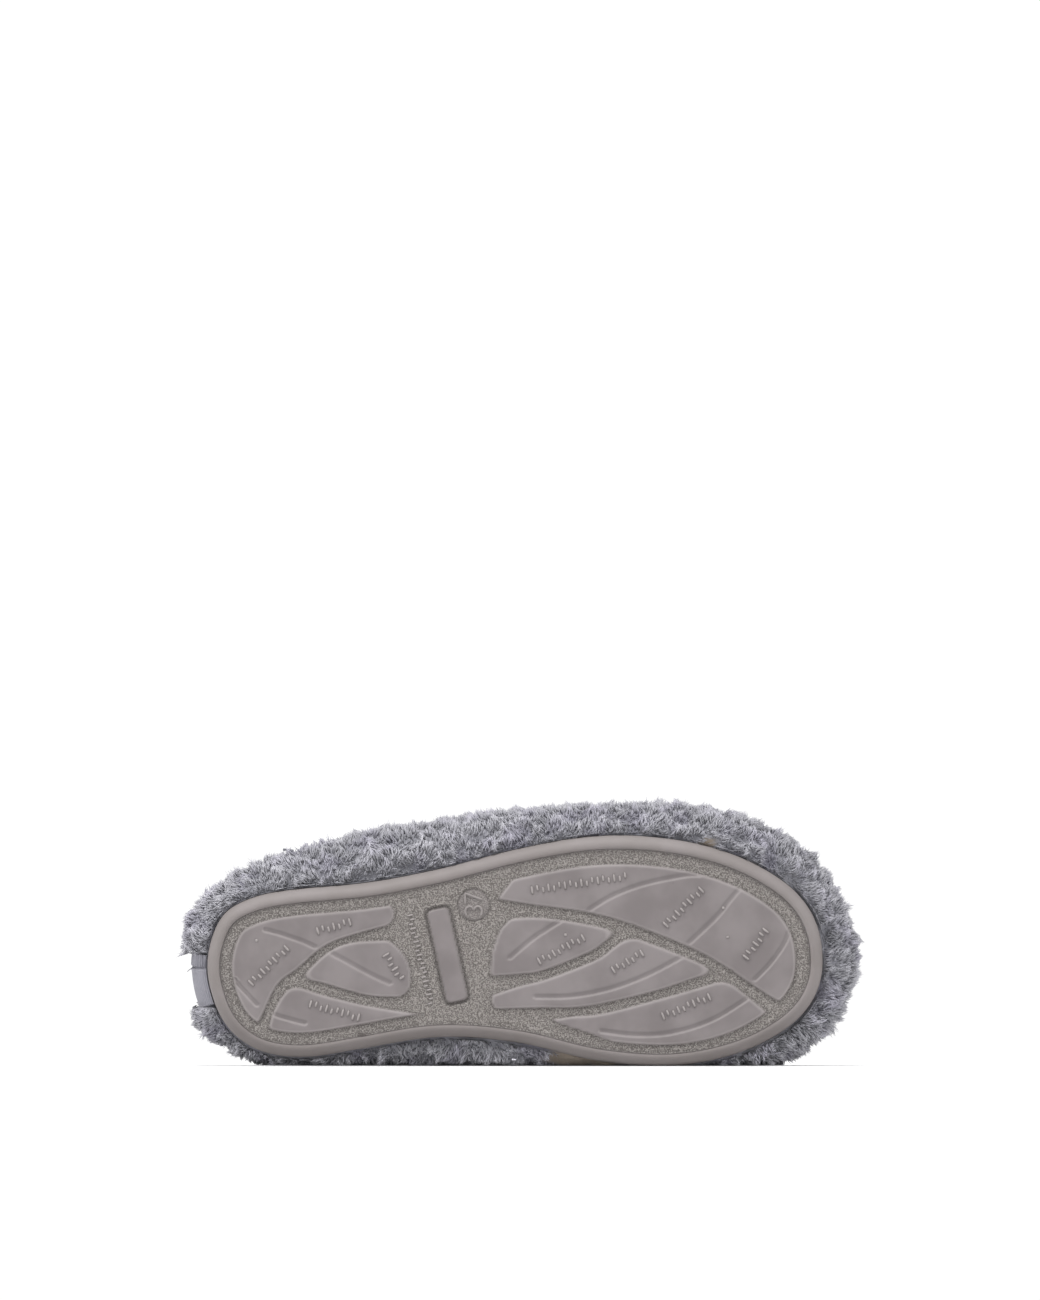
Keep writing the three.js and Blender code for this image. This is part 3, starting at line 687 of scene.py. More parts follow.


# Rubber: worm-like stipple between the pads, cloudy tones on pads and rim, painted shade in what is
# sunk, painted highlight on the edges, brown where it is dirty, and brown as painted shade along the rim's
# inner side
def soleMaterial():
    m = Shader("moulded_rubber", Roughness=0.62, Specular_IOR_Level=0.3)
    place = m.objectPlace()
    pad, rim = m.attribute("pad"), m.attribute("rim")
    worm = m.ramp(m.noise(place, 1900.0, 1.0, 0.5), 0.36, 0.64)
    cloud = m.ramp(m.noise(place, 60.0, 3.0), 0.3, 0.7)
    fine = m.noise(place, 5200.0, 2.0)
    stipple = (1 - pad) * (1 - rim)
    band = m.tones(worm, (97, 92, 89), (147, 142, 138))
    colour = m.mix(stipple, m.tones(cloud, (116, 110, 110), (129, 123, 123)), band)
    colour = m.mix(rim, colour, m.tones(cloud, (125, 119, 117), (132, 126, 125)))
    # painted shadow from the shade mask
    colour = m.mix(m.attribute("shade") * 0.6, colour, tint(74, 69, 68))
    # painted highlight from the edge mask
    colour = m.mix(m.attribute("edge") * 0.2, colour, tint(180, 174, 172))
    # brown dirt marks, and painted shade on the rim's inner side
    colour = m.mix(m.attribute("dirt_and_shade"), colour, tint(84, 78, 76))
    m.set(Base_Color=colour, Normal=m.bump(worm * stipple + fine * 0.05, 0.0003, 0.8))
    m.set(Roughness=m.ramp(fine, 0.2, 0.8, 0.55, 0.7))
    return m.material


# Sole: the tread as a field between its two edges, then rings round the rim and over the top
def makeOutsole():
    stations, across = soleSettings["stations"], soleSettings["across"]
    even = np.linspace(0, 1, stations + 1)
    turn = 0.5 * math.pi * even + 0.5 * np.arccos(1 - 2 * even)
    radius, bevel = shoe["rimRadius"], shoe["topBevel"]
    innerEdge, outerEdge = solePoint(turn, -radius), solePoint(-turn, -radius)
    share = np.linspace(0, 1, across + 1)[None, :, None]
    field = blendOf(innerEdge[:, None], outerEdge[:, None], share).reshape(-1, 2)
    relief, smooth, shadow, light = treadRelief(field)
    tread = np.column_stack([field, underside(field[:, 0]) + shoe["treadDepth"] - relief])
    loop = np.concatenate([turn, -turn[-2:0:-1]])
    index = np.arange(stations + 1) * (across + 1)
    edgeIndex = np.concatenate([index, (index + across)[-2:0:-1]])
    profile = [(-5.2, 0.62), (-4.8, 0.28), (-4.3, 0.06)]
    for angle in np.linspace(0, math.pi / 2, 9):
        profile.append((-3.9 * (1 - math.sin(angle)), 5.2 * (1 - math.cos(angle))))
    rings = [(underside, inset, height) for inset, height in profile]
    rings += [(soleTop, 0.0, -bevel), (soleTop, -0.35, -0.35), (soleTop, -bevel, 0.0), (soleTop, -4.0, 0.0)]
    rows = []
    for level, inset, height in rings:
        ring = solePoint(loop, inset)
        rows.append(np.column_stack([ring, level(ring[:, 0]) + height]))
    spine = spinePoint(loop)
    rows.append(np.column_stack([spine, soleTop(spine[:, 0])]))
    first, count = len(field), len(loop)
    firstRow = np.arange(count) + first
    faces = [
        gridFaces(stations + 1, across + 1)[:, ::-1],
        np.stack([edgeIndex, firstRow, np.roll(firstRow, -1), np.roll(edgeIndex, -1)], -1),
        gridFaces(len(rows), count, closeColumns=True) + first,
    ]
    points = np.concatenate([tread] + rows)
    rest = np.zeros(len(points) - first)
    masks = {"pad": smooth, "rim": np.zeros(first), "shade": shadow, "edge": light}
    values = {key: np.concatenate([mask, rest + (key == "rim")]) for key, mask in masks.items()}
    # painted shade: the rim darkens towards its inner side, which lies towards the floor; added to the dirt
    # marks
    innerSide = smoothStep(5.0, 28.0, points[:, 1])
    values["dirt_and_shade"] = np.clip(dirtMarks(points) + 0.38 * values["rim"] * innerSide, 0, 1)
    makePiece("sole", points, faces, soleMaterial(), values, merge=2e-6,
              replaces=["outsole"], press=0.0)


# Small dark marks on the stippled band, as soft spots
def dirtMarks(points):
    total = np.zeros(len(points))
    for pixelX, pixelY, halfX, halfY, weight in dirtSpots:
        away = (points[:, :2] - solePlace(pixelX, pixelY)) / np.array([halfX, halfY])
        broken = smoothStep(-0.5, 0.2, softNoise(points, 0.9, 41))
        total += weight * smoothStep(1.1, 0.4, np.hypot(*away.T)) * broken * (points[:, 2] < 8)
    return np.clip(total, 0, 1)


def treadHeight(points):
    relief = treadRelief(points)[0]
    return underside(points[:, 0]) + shoe["treadDepth"] - relief


# Rows of short ribs and a few round studs: each a closed oblong pebble, half sunk in the tread
def makeRibs():
    s = soleSettings
    sides = 10
    angle = fullTurn(sides)
    polar = np.linspace(0, math.pi, 7)
    ring = [np.sign(wave) * np.abs(wave) ** 0.5 for wave in (np.cos(angle), np.sin(angle))]
    flat = np.sin(polar)[:, None] ** 0.6
    level = np.cos(polar)[:, None] * np.ones(sides)
    pebble = np.stack([flat * ring[0], flat * ring[1], level], -1).reshape(-1, 3)
    template = gridFaces(len(polar), sides, closeColumns=True)
    points, faces, shade = [], [], []

    def addPebble(middle, across, upright, width, length, height):
        local = middle + pebble[:, :1] * across * width / 2 + pebble[:, 1:2] * upright * length / 2
        faces.append(template + len(pebble) * len(points))
        points.append(np.column_stack([local, treadHeight(middle[None])[0] - pebble[:, 2] * height]))
        # painted shade on the sides and base of each pebble, its top left light
        shade.append(smoothStep(0.75, 0.35, pebble[:, 2]))

    for pixelX, pixelY, leanDegrees, count, size in ribRows:
        centre = solePlace(pixelX, pixelY)
        lean = math.radians(-leanDegrees)
        along = np.array([math.cos(lean), math.sin(lean)])
        upright = np.array([-along[1], along[0]])
        full = s["ribLength"] * size
        for k in range(count):
            step = (k - (count - 1) / 2) * s["ribPitch"] * size
            length = full * (1.0 if k % 3 == 0 else 0.72)
            middle = centre + along * step + upright * (full - length) * (-0.5 if k % 2 else 0.5)
            addPebble(middle, along, upright, s["ribWidth"] * size, length, s["ribHeight"] * size)
    for spot in studs:
        addPebble(solePlace(*spot), *np.eye(2), s["studWidth"], s["studWidth"], s["studHeight"])
    rib = Shader("rubber_ribs", Roughness=0.6)
    place = rib.objectPlace()
    face = rib.tones(rib.noise(place, 300.0), (136, 130, 129), (156, 150, 148))
    rib.set(Base_Color=rib.mix(rib.attribute("shade"), face, tint(84, 79, 78)))
    rib.set(Normal=rib.bump(rib.noise(place, 4000.0), 0.00004))
    makePiece("tread_ribs", np.concatenate(points), [np.concatenate(faces)], rib.material,
              {"shade": np.concatenate(shade)}, merge=1e-6)
    return rib.material


# The number in the ring, as raised strokes: an arc pair for one figure and two lines for the other
numberSettings = {"height": 6.6, "width": 4.2, "gap": 1.0, "stroke": 0.5}


def makeNumber(material):
    s = numberSettings
    bowl, halfWidth = s["height"] / 4, s["width"] / 2
    arc = np.radians(np.linspace(140, -70, 12))
    upper = np.column_stack([halfWidth * np.cos(arc), bowl + bowl * np.sin(arc)])
    three = np.concatenate([upper, upper[::-1] * [1, -1]])
    left, right, low = np.array([[-halfWidth, 2 * bowl], [halfWidth, 2 * bowl], [-0.2 * halfWidth, -2 * bowl]])
    seven = np.concatenate([np.linspace(left, right, 5), np.linspace(right, low, 8)[1:]])
    step = (s["width"] + s["gap"]) / 2
    points, faces = [], []
    for shape, move in [(three, -step), (seven, step)]:
        # a quarter turn in the picture
        flat = sharePlace(*soleSettings["ringPlace"]) - np.column_stack([shape[:, 1], shape[:, 0] + move])
        ground = underside(flat[:, 0]) + shoe["treadDepth"] - 0.1
        tube, tubeFaces = tubeAlong(np.column_stack([flat, ground - 0.12]), s["stroke"], 8)
        faces += [group + sum(len(p) for p in points) for group in tubeFaces]
        points.append(tube)
    points = np.concatenate(points)
    # painted shade on the strokes' sides where they meet the tread, and a lighter share of it over their tops
    shade = smoothStep(-0.3, 0.15, points[:, 2] - underside(points[:, 0]) - shoe["treadDepth"] + 0.25)
    makePiece("size_number", points, faces, material, {"shade": 0.22 + 0.58 * shade})


# Upper: fabric wall with the pile's dense ground on the outside and short plush on the inside
pileSettings = {
    "columns": 420, "groundDepth": 3.2, "lump": 0.8, "lumpCell": 3.3, "waveCell": 6.5,
    "plushLump": 0.55, "plushCell": 3.4, "skirtRows": 14, "wallRows": 40, "plushRows": 37,
    "batches": 4, "strands": 16400, "strandLength": 2.6, "strandRadius": 0.2, "lean": 2.3, "clump": 1.3,
    "curl": 0.22, "comb": 1.2, "flowCell": 10.0, "capDepth": 8.8, "seed": 7,
    "rootColumns": 900, "rootRows": 170, "nearRows": 115, "nearShare": 1.7, "pressed": 0.0003,
}
tabSettings = {
    "width": 23.0, "middle": 6.0, "depth": 5.4, "thickness": 1.8, "sunk": 4.6, "seam": 0.8,
    "foldPitch": 1.25, "weavePitch": 0.95,
}

# Bald brown spots beside the sole, where glue took the pile: pixel and half sizes in millimetres
baldPlaces = [(583, 1058, 16.5, 4.2), (707, 842, 3.2, 2.2)]


# Pile is missing over the strip at the centre back: 1 on the strip, 0 away from it
def tabMask(x, y, soft, inset=0.0):
    reach = np.abs(y - tabSettings["middle"]) - tabSettings["width"] / 2 + inset
    return smoothStep(soft, -soft, reach) * smoothStep(30.0, 24.0, x)


# Fabric of pile or plush: tones follow the painted shade in the shade attribute with fine and broad noise,
# bald spots are brown
def pileMaterial(name, dark, light, fibreScale, bumpStrength):
    m = Shader(name, Roughness=0.95, Specular_IOR_Level=0.12, Sheen_Weight=0.25, Sheen_Roughness=0.45)
    place = m.objectPlace()
    patch = m.noise(place, 95.0, 2.0)
    fine = m.noise(place, 1500.0, 3.0, 0.65)
    fibre = m.noise(place, fibreScale, 2.0, 0.6)
    shadeAndTone = m.attribute("shade") + m.ramp(fine, 0.3, 0.7) * 0.09 + patch * 0.04 - 0.065
    colour = m.tones(m.ramp(shadeAndTone, 0.0, 1.0), dark, light)
    violet = m.tones(m.ramp(patch, 0.45, 0.7), (255, 255, 255), (250, 248, 255))
    colour = m.mix(1.0, colour, violet, "MULTIPLY")
    colour = m.mix(m.attribute("bald"), colour, m.tones(fine, (124, 114, 104), (150, 140, 129)))
    m.set(Base_Color=colour, Normal=m.bump(fibre, 0.0004, bumpStrength))
    return m.material


# 1 in a bald spot, 0 away from it
def baldSpots(points):
    total = np.zeros(points.shape[:-1])
    for pixelX, pixelY, halfX, halfY in baldPlaces:
        away = (points[..., :2] - solePlace(pixelX, pixelY)) / np.array([halfX, halfY])
        low = smoothStep(22.0, 15.0, points[..., 2])
        total += smoothStep(1.25, 0.75, np.hypot(away[..., 0], away[..., 1])) * low
    return np.clip(total, 0, 1)


# Normals of rings round the shoe, away from its spine as the ninth ring has them
def outwardNormals(grid, turn):
    alongColumns = np.roll(grid, -1, 1) - np.roll(grid, 1, 1)
    normal = unit(np.cross(alongColumns, np.gradient(grid, axis=0)))
    outward = (normal[8, :, :2] * (grid[8, :, :2] - spinePoint(turn))).sum()
    return normal if outward > 0 else -normal


# Tufts of the pile as a soft noise, and broader waves under them
def pileLumps(points):
    s = pileSettings
    return 1.5 * softNoise(points, s["lumpCell"], 3), 1.5 * softNoise(points, s["waveCell"], 4)


# Share of a push that each ring of a surface takes, rising over three rings from its first or last
def ringFade(count, fromStart=True):
    rings = np.arange(count)
    away = np.minimum(rings, rings[::-1]) if fromStart else rings[::-1]
    return np.clip(away / 3, 0, 1)[:, None]


# Outside of the upper from the sole to the topline, sunk under the strip at the centre back
def upperOutside(turn, limit):
    s = pileSettings
    skirt, wall = np.linspace(-1, 0, s["skirtRows"] + 1)[:-1], np.linspace(0, 1, s["wallRows"] + 1)
    rise = np.concatenate([skirt, wall])[:, None]
    outer = upperPoint(s["groundDepth"], turn[None], np.where(rise < 0, rise, rise * limit))
    normal = outwardNormals(outer, turn)
    lumps, waves = pileLumps(outer)
    tab = tabMask(outer[..., 0], outer[..., 1], 1.0)
    push = s["lump"] * (lumps + 0.6 * waves) * ringFade(len(outer)) * (1 - tab) - tabSettings["sunk"] * tab
    outer = outer + normal * push[..., None]
    # painted shade: darker between the tufts and in the sole's shadow beside its edge
    shade = np.clip(0.38 + 0.2 * lumps + 0.06 * waves, 0, 1) - 0.25 * besideSole(outer, turn[None])
    return outer, shade, normal[-1] * tab[-1][:, None] * tabSettings["sunk"]


# Cut edge between the outside and the lining, in rings of growing depth, and where each is open
def upperEdge(turn, limit, lastRing, sunk):
    share = np.linspace(0, 1, 7)[1:-1, None]
    depth = blendOf(pileSettings["groundDepth"], shoe["wallDepth"], share)
    limits = np.concatenate([riseLimit(value, turn[None]) for value in depth])
    edge = upperPoint(depth, turn[None], limits) - sunk * (1 - share)[..., None]
    limits = np.concatenate([limit[None], limits])
    isOpen = (limits < 1) | (np.roll(limits, -1, 1) < 1)
    used = isOpen[:-1] | np.roll(isOpen[:-1], 1, 1)
    return np.where(used[..., None], edge, lastRing), isOpen


# Short plush on the inside
def upperLining(turn, limit):
    s = pileSettings
    rise = np.concatenate([np.linspace(-1, 0, 7)[:-1], np.linspace(0, 1, s["plushRows"])])[:, None]
    inner = upperPoint(shoe["wallDepth"], turn[None], np.where(rise < 0, rise, rise * limit))
    plush = softNoise(inner, s["plushCell"], 5) + 0.5 * softNoise(inner, s["plushCell"] / 2, 6)
    inward = np.clip(0.4 + plush, 0, 2) * s["plushLump"] * ringFade(len(inner), False)
    inner = inner - outwardNormals(inner, turn) * inward[..., None]
    # painted shade: a little lighter where the plush stands out, darker between its lumps
    return inner, np.clip(0.45 + 0.07 * plush, 0, 1)


# Upper as rings: up the lining, down its foot beside the sole, up the outside, over the cut edge
def makeUpper(material):
    turn = fullTurn(pileSettings["columns"])
    outerLimit, innerLimit = riseLimit(pileSettings["groundDepth"], turn), riseLimit(shoe["wallDepth"], turn)
    outer, shadeOuter, sunk = upperOutside(turn, outerLimit)
    edge, isOpen = upperEdge(turn, outerLimit, outer[-1], sunk)
    inner, shadeInner = upperLining(turn, innerLimit)
    foot = []
    for level, outset, height in [(soleTop, -3.0, 0.35), (soleTop, 0.45, 0.35), (toeRise, 0.45, 7.4),
                                  (toeRise, 0.6, shoe["skirtHeight"] + 0.9)]:
        ring = solePoint(turn, np.full_like(turn, outset))
        foot.append(np.column_stack([ring, level(ring[:, 0]) + height]))
    rings = np.concatenate([inner[::-1], np.stack(foot), outer, edge])
    # painted shade: the foot rings in the gap beside the sole are nearly black
    shadeFoot, shadeEdge = np.full((len(foot), len(turn)), 0.1), np.full((len(edge), len(turn)), 0.4)
    shade = np.concatenate([shadeInner[::-1], shadeFoot, shadeOuter, shadeEdge])
    count, columns = len(rings) - len(edge), len(turn)
    faces = [gridFaces(count, columns, closeColumns=True)]
    order = np.append(np.arange(count - 1, len(rings)), 0) * columns
    for here, beyond, quads in zip(order[:-1], order[1:], isOpen):
        column = np.arange(columns)[quads]
        following = (column + 1) % columns
        faces.append(np.stack([here + column, here + following, beyond + following, beyond + column], -1))
    values = {"shade": shade.ravel(), "bald": baldSpots(rings).ravel()}
    makePiece("upper_ground", rings.reshape(-1, 3), faces, material, values, merge=3e-6,
              replaces=["upper"], press=0.0002)


# Random places on the lumpy ground by area, more on the half beside the sole and hardly any where
# the slipper's weight presses the pile to the floor
def pileRoots(count, rng):
    s = pileSettings
    turn = fullTurn(s["rootColumns"])
    limit = riseLimit(s["groundDepth"], turn)
    level = np.linspace(-1, 1, s["rootRows"])[:, None]
    rise = np.where(level < 0, level, level * limit)
    wall = upperPoint(s["groundDepth"], turn[None, :], rise)
    capDepths = np.linspace(s["groundDepth"], s["capDepth"], 10)[1:]
    cap = np.stack([upperPoint(depth, turn, riseLimit(depth, turn)) for depth in capDepths])
    grid = np.concatenate([wall, cap])
    normal = outwardNormals(grid, turn)
    lumps, waves = pileLumps(grid)
    grid = grid + normal * (s["lump"] * (lumps + 0.6 * waves) - 0.3)[..., None]
    right = np.roll(grid, -1, 1)[:-1] - grid[:-1]
    up = grid[1:] - grid[:-1]
    middle = grid[:-1]
    row = np.arange(len(middle))[:, None]
    over = np.clip((row - len(wall) + 2) / len(cap), 0, 1)
    openColumn = (limit < 1) & (np.roll(limit, -1) < 1)
    weight = np.linalg.norm(np.cross(right, up), axis=-1) * np.where(over > 0, openColumn, 1.0)
    weight = weight * np.where(row < s["nearRows"], s["nearShare"], 1.0)
    side = np.sign(middle[..., 1] - tabSettings["middle"])
    ragged = middle[..., 1] + 2.0 * softNoise(middle, 2.6, 13) * side
    weight = weight * (1 - tabMask(middle[..., 0], ragged, 0.5, 0.5)) * (1 - 0.97 * baldSpots(middle))
    weight = weight * np.where(layDown(middle)[..., 2] < s["pressed"], 0.05, 1.0)
    total = np.cumsum(weight.ravel())
    cell = np.searchsorted(total, rng.random(count) * total[-1])
    row, column = np.unravel_index(cell, weight.shape)
    jitter = rng.random((2, count, 1))
    roots = middle[row, column] + right[row, column] * jitter[0] + up[row, column] * jitter[1]
    return roots, normal[row, column], unit(up[row, column]), turn[column], over[row, 0]


# Strands of pile. Each rises from its root along the normal on a quarter sine and is taller on a
# tuft; it leans up the wall, turned by a soft noise, and up that noise's slope to its tuft.
def strandPaths(count, rng):
    s = pileSettings
    root, normal, climb, turn, over = pileRoots(count, rng)
    short = 1 - 0.4 * over
    side = unit(np.cross(normal, np.array([0.31, 0.17, 0.93])))
    cross = np.cross(normal, side)
    lump, wave = pileLumps(root)
    step = 0.5
    slope = [(pileLumps(root + way * step)[0] - lump)[:, None] / step for way in (side, cross)]
    clump = side * slope[0] + cross * slope[1]
    steep = np.linalg.norm(clump, axis=1, keepdims=True)
    clump = clump / np.maximum(steep, 0.35)
    flow = 4.5 * softNoise(root, s["flowCell"], 11) + rng.normal(0, 0.35, count)
    aim = unit(side * np.cos(flow)[:, None] + cross * np.sin(flow)[:, None] + s["comb"] * climb)
    fromToe = (turn + math.pi) % (2 * math.pi) - math.pi
    fluff = 1 + 0.6 * smoothStep(0.4, 0.1, np.abs(fromToe - 0.5))
    share = np.clip(rng.normal(1.0, 0.12, count) + 0.22 * lump, 0.4, 1.5)
    reach = s["strandLength"] * short * fluff * share
    lean = s["lean"] * short * rng.uniform(0.4, 1.2, count)
    curl = s["curl"] * rng.normal(0, 1, (count, 3))
    t = np.array([0.0, 0.5, 1.0])
    path = root[:, None] + normal[:, None] * (reach[:, None] * np.sin(t * math.pi / 2))[..., None]
    path = path + aim[:, None] * (lean[:, None] * t ** 1.8)[..., None]
    path = path + clump[:, None] * (s["clump"] * t)[:, None]
    path = path + curl[:, None] * np.sin(t * math.pi)[:, None] + curl[:, None, ::-1] * 0.6 * t[:, None]
    # the third value is painted shade, lighter on the tufts and darker between them, with a random tone
    return path, turn, 0.15 * lump + 0.05 * wave + rng.normal(0, 0.03, count), t


# How far points lie outside the sole's edge, and which way out is
def soleGap(points, turn):
    edge = solePoint(turn, 0.0)
    outward = unit(solePoint(turn, 1.0) - edge)
    return ((points[..., :2] - edge) * outward).sum(-1), outward


# 1 right beside the sole's edge, where the pile lies in its shadow, to 0 a few millimetres out
def besideSole(points, turn):
    return smoothStep(5.0, 0.5, soleGap(points, turn)[0]) * (points[..., 2] < 24)


# Pile stays clear of the sole: near it, points move out past its edge and up behind its rim
def clearOfSole(path, turn):
    gap, outward = soleGap(path, turn[:, None])
    low = path[..., 2] < soleTop(path[..., 0]) + 0.5
    path[..., :2] = path[..., :2] + outward * np.where(low, np.maximum(1.15 - gap, 0), 0)[..., None]
    floor = toeRise(path[..., 0]) + 3.4
    path[..., 2] = np.maximum(path[..., 2], floor + 0.15 * (path[..., 2] - floor))
    return path


# Three-sided tapering strands along the paths, closed at root and tip
def strandMesh(paths, radius, t):
    count, steps = paths.shape[:2]
    rings = steps - 1
    along = unit(np.gradient(paths, axis=1))
    side = unit(np.cross(along, np.array([0.23, 0.91, 0.35])))
    over = np.cross(side, along)
    angle = fullTurn(3)
    girth = radius[:, None] * (0.75 + 0.35 * np.sin(math.pi * t[:-1])) * (1 - 0.5 * t[:-1] ** 3)
    ring = side[:, :-1, None] * np.cos(angle)[:, None] + over[:, :-1, None] * np.sin(angle)[:, None]
    body = paths[:, :-1, None] + ring * girth[..., None, None]
    points = np.concatenate([body.reshape(count, rings * 3, 3), paths[:, -1:]], 1)
    template = gridFaces(rings, 3, closeColumns=True)
    tip = rings * 3
    last = (rings - 1) * 3
    caps = np.array([[last, last + 1, tip], [last + 1, last + 2, tip], [last + 2, last, tip], [2, 1, 0]])
    start = (np.arange(count) * (tip + 1))[:, None, None]
    quads = (template[None] + start).reshape(-1, 4)
    triangles = (caps[None] + start).reshape(-1, 3)
    level = np.concatenate([np.repeat(t[:-1], 3), [1.0]])
    return points.reshape(-1, 3), [quads, triangles], level


def makePile(material):
    s = pileSettings
    rng = np.random.default_rng(s["seed"])
    for batch in range(s["batches"]):
        paths, turn, shadeAndTone, t = strandPaths(s["strands"], rng)
        paths = clearOfSole(paths, turn)
        girth = s["strandRadius"] * rng.uniform(0.7, 1.3, len(paths))
        points, faces, level = strandMesh(paths, girth, t)
        near = besideSole(paths, turn[:, None])
        near = np.concatenate([np.repeat(near[:, :-1], 3, 1), near[:, -1:]], 1)
        # painted shade: darker at the roots, between the tufts and in the sole's shadow beside its edge
        shade = 0.42 + 0.16 * level[None, :] + shadeAndTone[:, None] - 0.3 * near
        values = {"shade": np.clip(shade, 0, 1).ravel(), "bald": np.zeros(len(points))}
        makePiece("pile_strands_" + str(batch + 1), points, faces, material, values,
                  press=0.00025)


# Footbed: a pad over the sole, its top hollowed from the edge to the middle
footbedSettings = {"thickness": 8.0, "cup": 1.6, "columns": 260, "topRows": 34, "sideRows": 5, "plush": 0.35}


def footbedTop(x, share):
    cup = blendOf(footbedSettings["cup"], -footbedSettings["cup"], share)
    return soleTop(x) + shoe["clearance"] + footbedSettings["thickness"] + cup


def makeFootbed():
    s = footbedSettings
    turn = fullTurn(s["columns"])
    depth = shoe["wallDepth"] + 0.9

    def isBelow(rise):
        point = upperPoint(depth, turn, rise)
        return point[:, 2] < footbedTop(point[:, 0], 0.12) - 0.8

    low, _ = halveRange(isBelow, np.full_like(turn, -1.0), np.full_like(turn, 0.6), 20)
    rise = -1 + (low + 1) * np.linspace(0, 1, s["sideRows"])[:, None]
    sides = upperPoint(depth, turn[None, :], rise)
    sides[0, :, 2] = soleTop(sides[0, :, 0]) + 0.35
    spine = spinePoint(turn)
    share = np.linspace(0, 1, s["topRows"] + 1)[1:] ** 0.9
    flat = blendOf(sides[-1][None, :, :2], spine[None], share[:, None, None])
    crown = 0.8 * (1 - np.exp(-share * 14))[:, None]
    top = footbedTop(flat[..., 0], blendOf(0.12, 1.0, share)[:, None]) - 0.8 + crown
    stitchGroove = 0.7 * np.exp(-((share[:, None] - 0.16) / 0.02) ** 2)
    surface = np.dstack([flat, top])
    lumps = s["plush"] * (softNoise(surface, 2.2, 21) + softNoise(surface, 11.0, 22))
    top = top + lumps * smoothStep(0.0, 0.1, share)[:, None] - stitchGroove
    base = np.column_stack([spine, soleTop(spine[:, 0]) + 0.35])
    rings = np.concatenate([base[None], sides, np.dstack([flat, top])])
    # painted shade on the top: lighter on the plush's lumps, darker between them
    shade = np.concatenate([np.full((len(sides) + 1, len(turn)), 0.4), np.clip(0.5 + 0.5 * lumps, 0, 1)])
    values = {"shade": shade.ravel(), "bald": np.zeros(shade.size)}
    material = pileMaterial("footbed_plush", (100, 99, 108), (156, 155, 163), 1400.0, 0.6)
    faces = [gridFaces(*rings.shape[:2], closeColumns=True)]
    piece = makePiece("footbed", rings.reshape(-1, 3), faces, material, values,
                      merge=3e-6, replaces=["insole"])


# Binding: knitted piping round the whole topline, its rib a cosine that winds along the tube
bindingSettings = {"radius": 2.068, "steps": 520, "sides": 12, "rib": 0.14, "ribPitch": 1.5}


# Even points along the topline, its corners softened by damping the high frequencies
def toplinePath(depth, steps):
    turn = fullTurn(3000)
    limit = riseLimit(depth, turn)
    points = upperPoint(depth, turn, limit)
    ridge = points[limit >= 1]
    throat = ridge[np.argmin(ridge[:, 0])]
    points = np.concatenate([points[limit < 1], throat[None]])
    length = np.concatenate([[0], np.cumsum(np.linalg.norm(np.roll(points, -1, 0) - points, axis=1))])
    even = np.linspace(0, length[-1], steps, endpoint=False)
    closed = np.concatenate([points, points[:1]])
    path = np.stack([np.interp(even, length, closed[:, k]) for k in range(3)], -1)
    frequency = np.fft.fftfreq(steps, length[-1] / steps)
    keep = np.exp(-(frequency * 14.0) ** 2)[:, None]
    return np.fft.ifft(np.fft.fft(path, axis=0) * keep, axis=0).real, length[-1]


def makeBinding():
    s = bindingSettings
    path, length = toplinePath(shoe["wallDepth"] - shoe["fabricWall"] / 2, s["steps"])
    along = np.arange(s["steps"])[:, None] / s["steps"] * length
    around = np.arange(s["sides"])[None, :] / s["sides"]
    twist = np.cos(2 * math.pi * (along / s["ribPitch"] + around * 2))
    radius = s["radius"] + s["rib"] * twist
    points, faces = tubeAlong(path, radius, s["sides"], closed=True)
    m = Shader("knit_piping", Roughness=0.92, Specular_IOR_Level=0.15, Sheen_Weight=0.2)
    place = m.objectPlace()
    fine = m.noise(place, 2600.0, 3.0, 0.6)
    # painted shade: darker in the rib's grooves, lighter on its crests
    colour = m.tones(m.attribute("rib") * 0.7 + fine * 0.3, (74, 74, 82), (126, 125, 134))
    m.set(Base_Color=colour, Normal=m.bump(fine, 0.0003, 0.7))
    values = {"rib": (0.5 + 0.5 * np.broadcast_to(twist, radius.shape)).ravel()}
    makePiece("collar_piping", points, faces, m.material, values,
              replaces=["collar_binding"], press=0.0002)


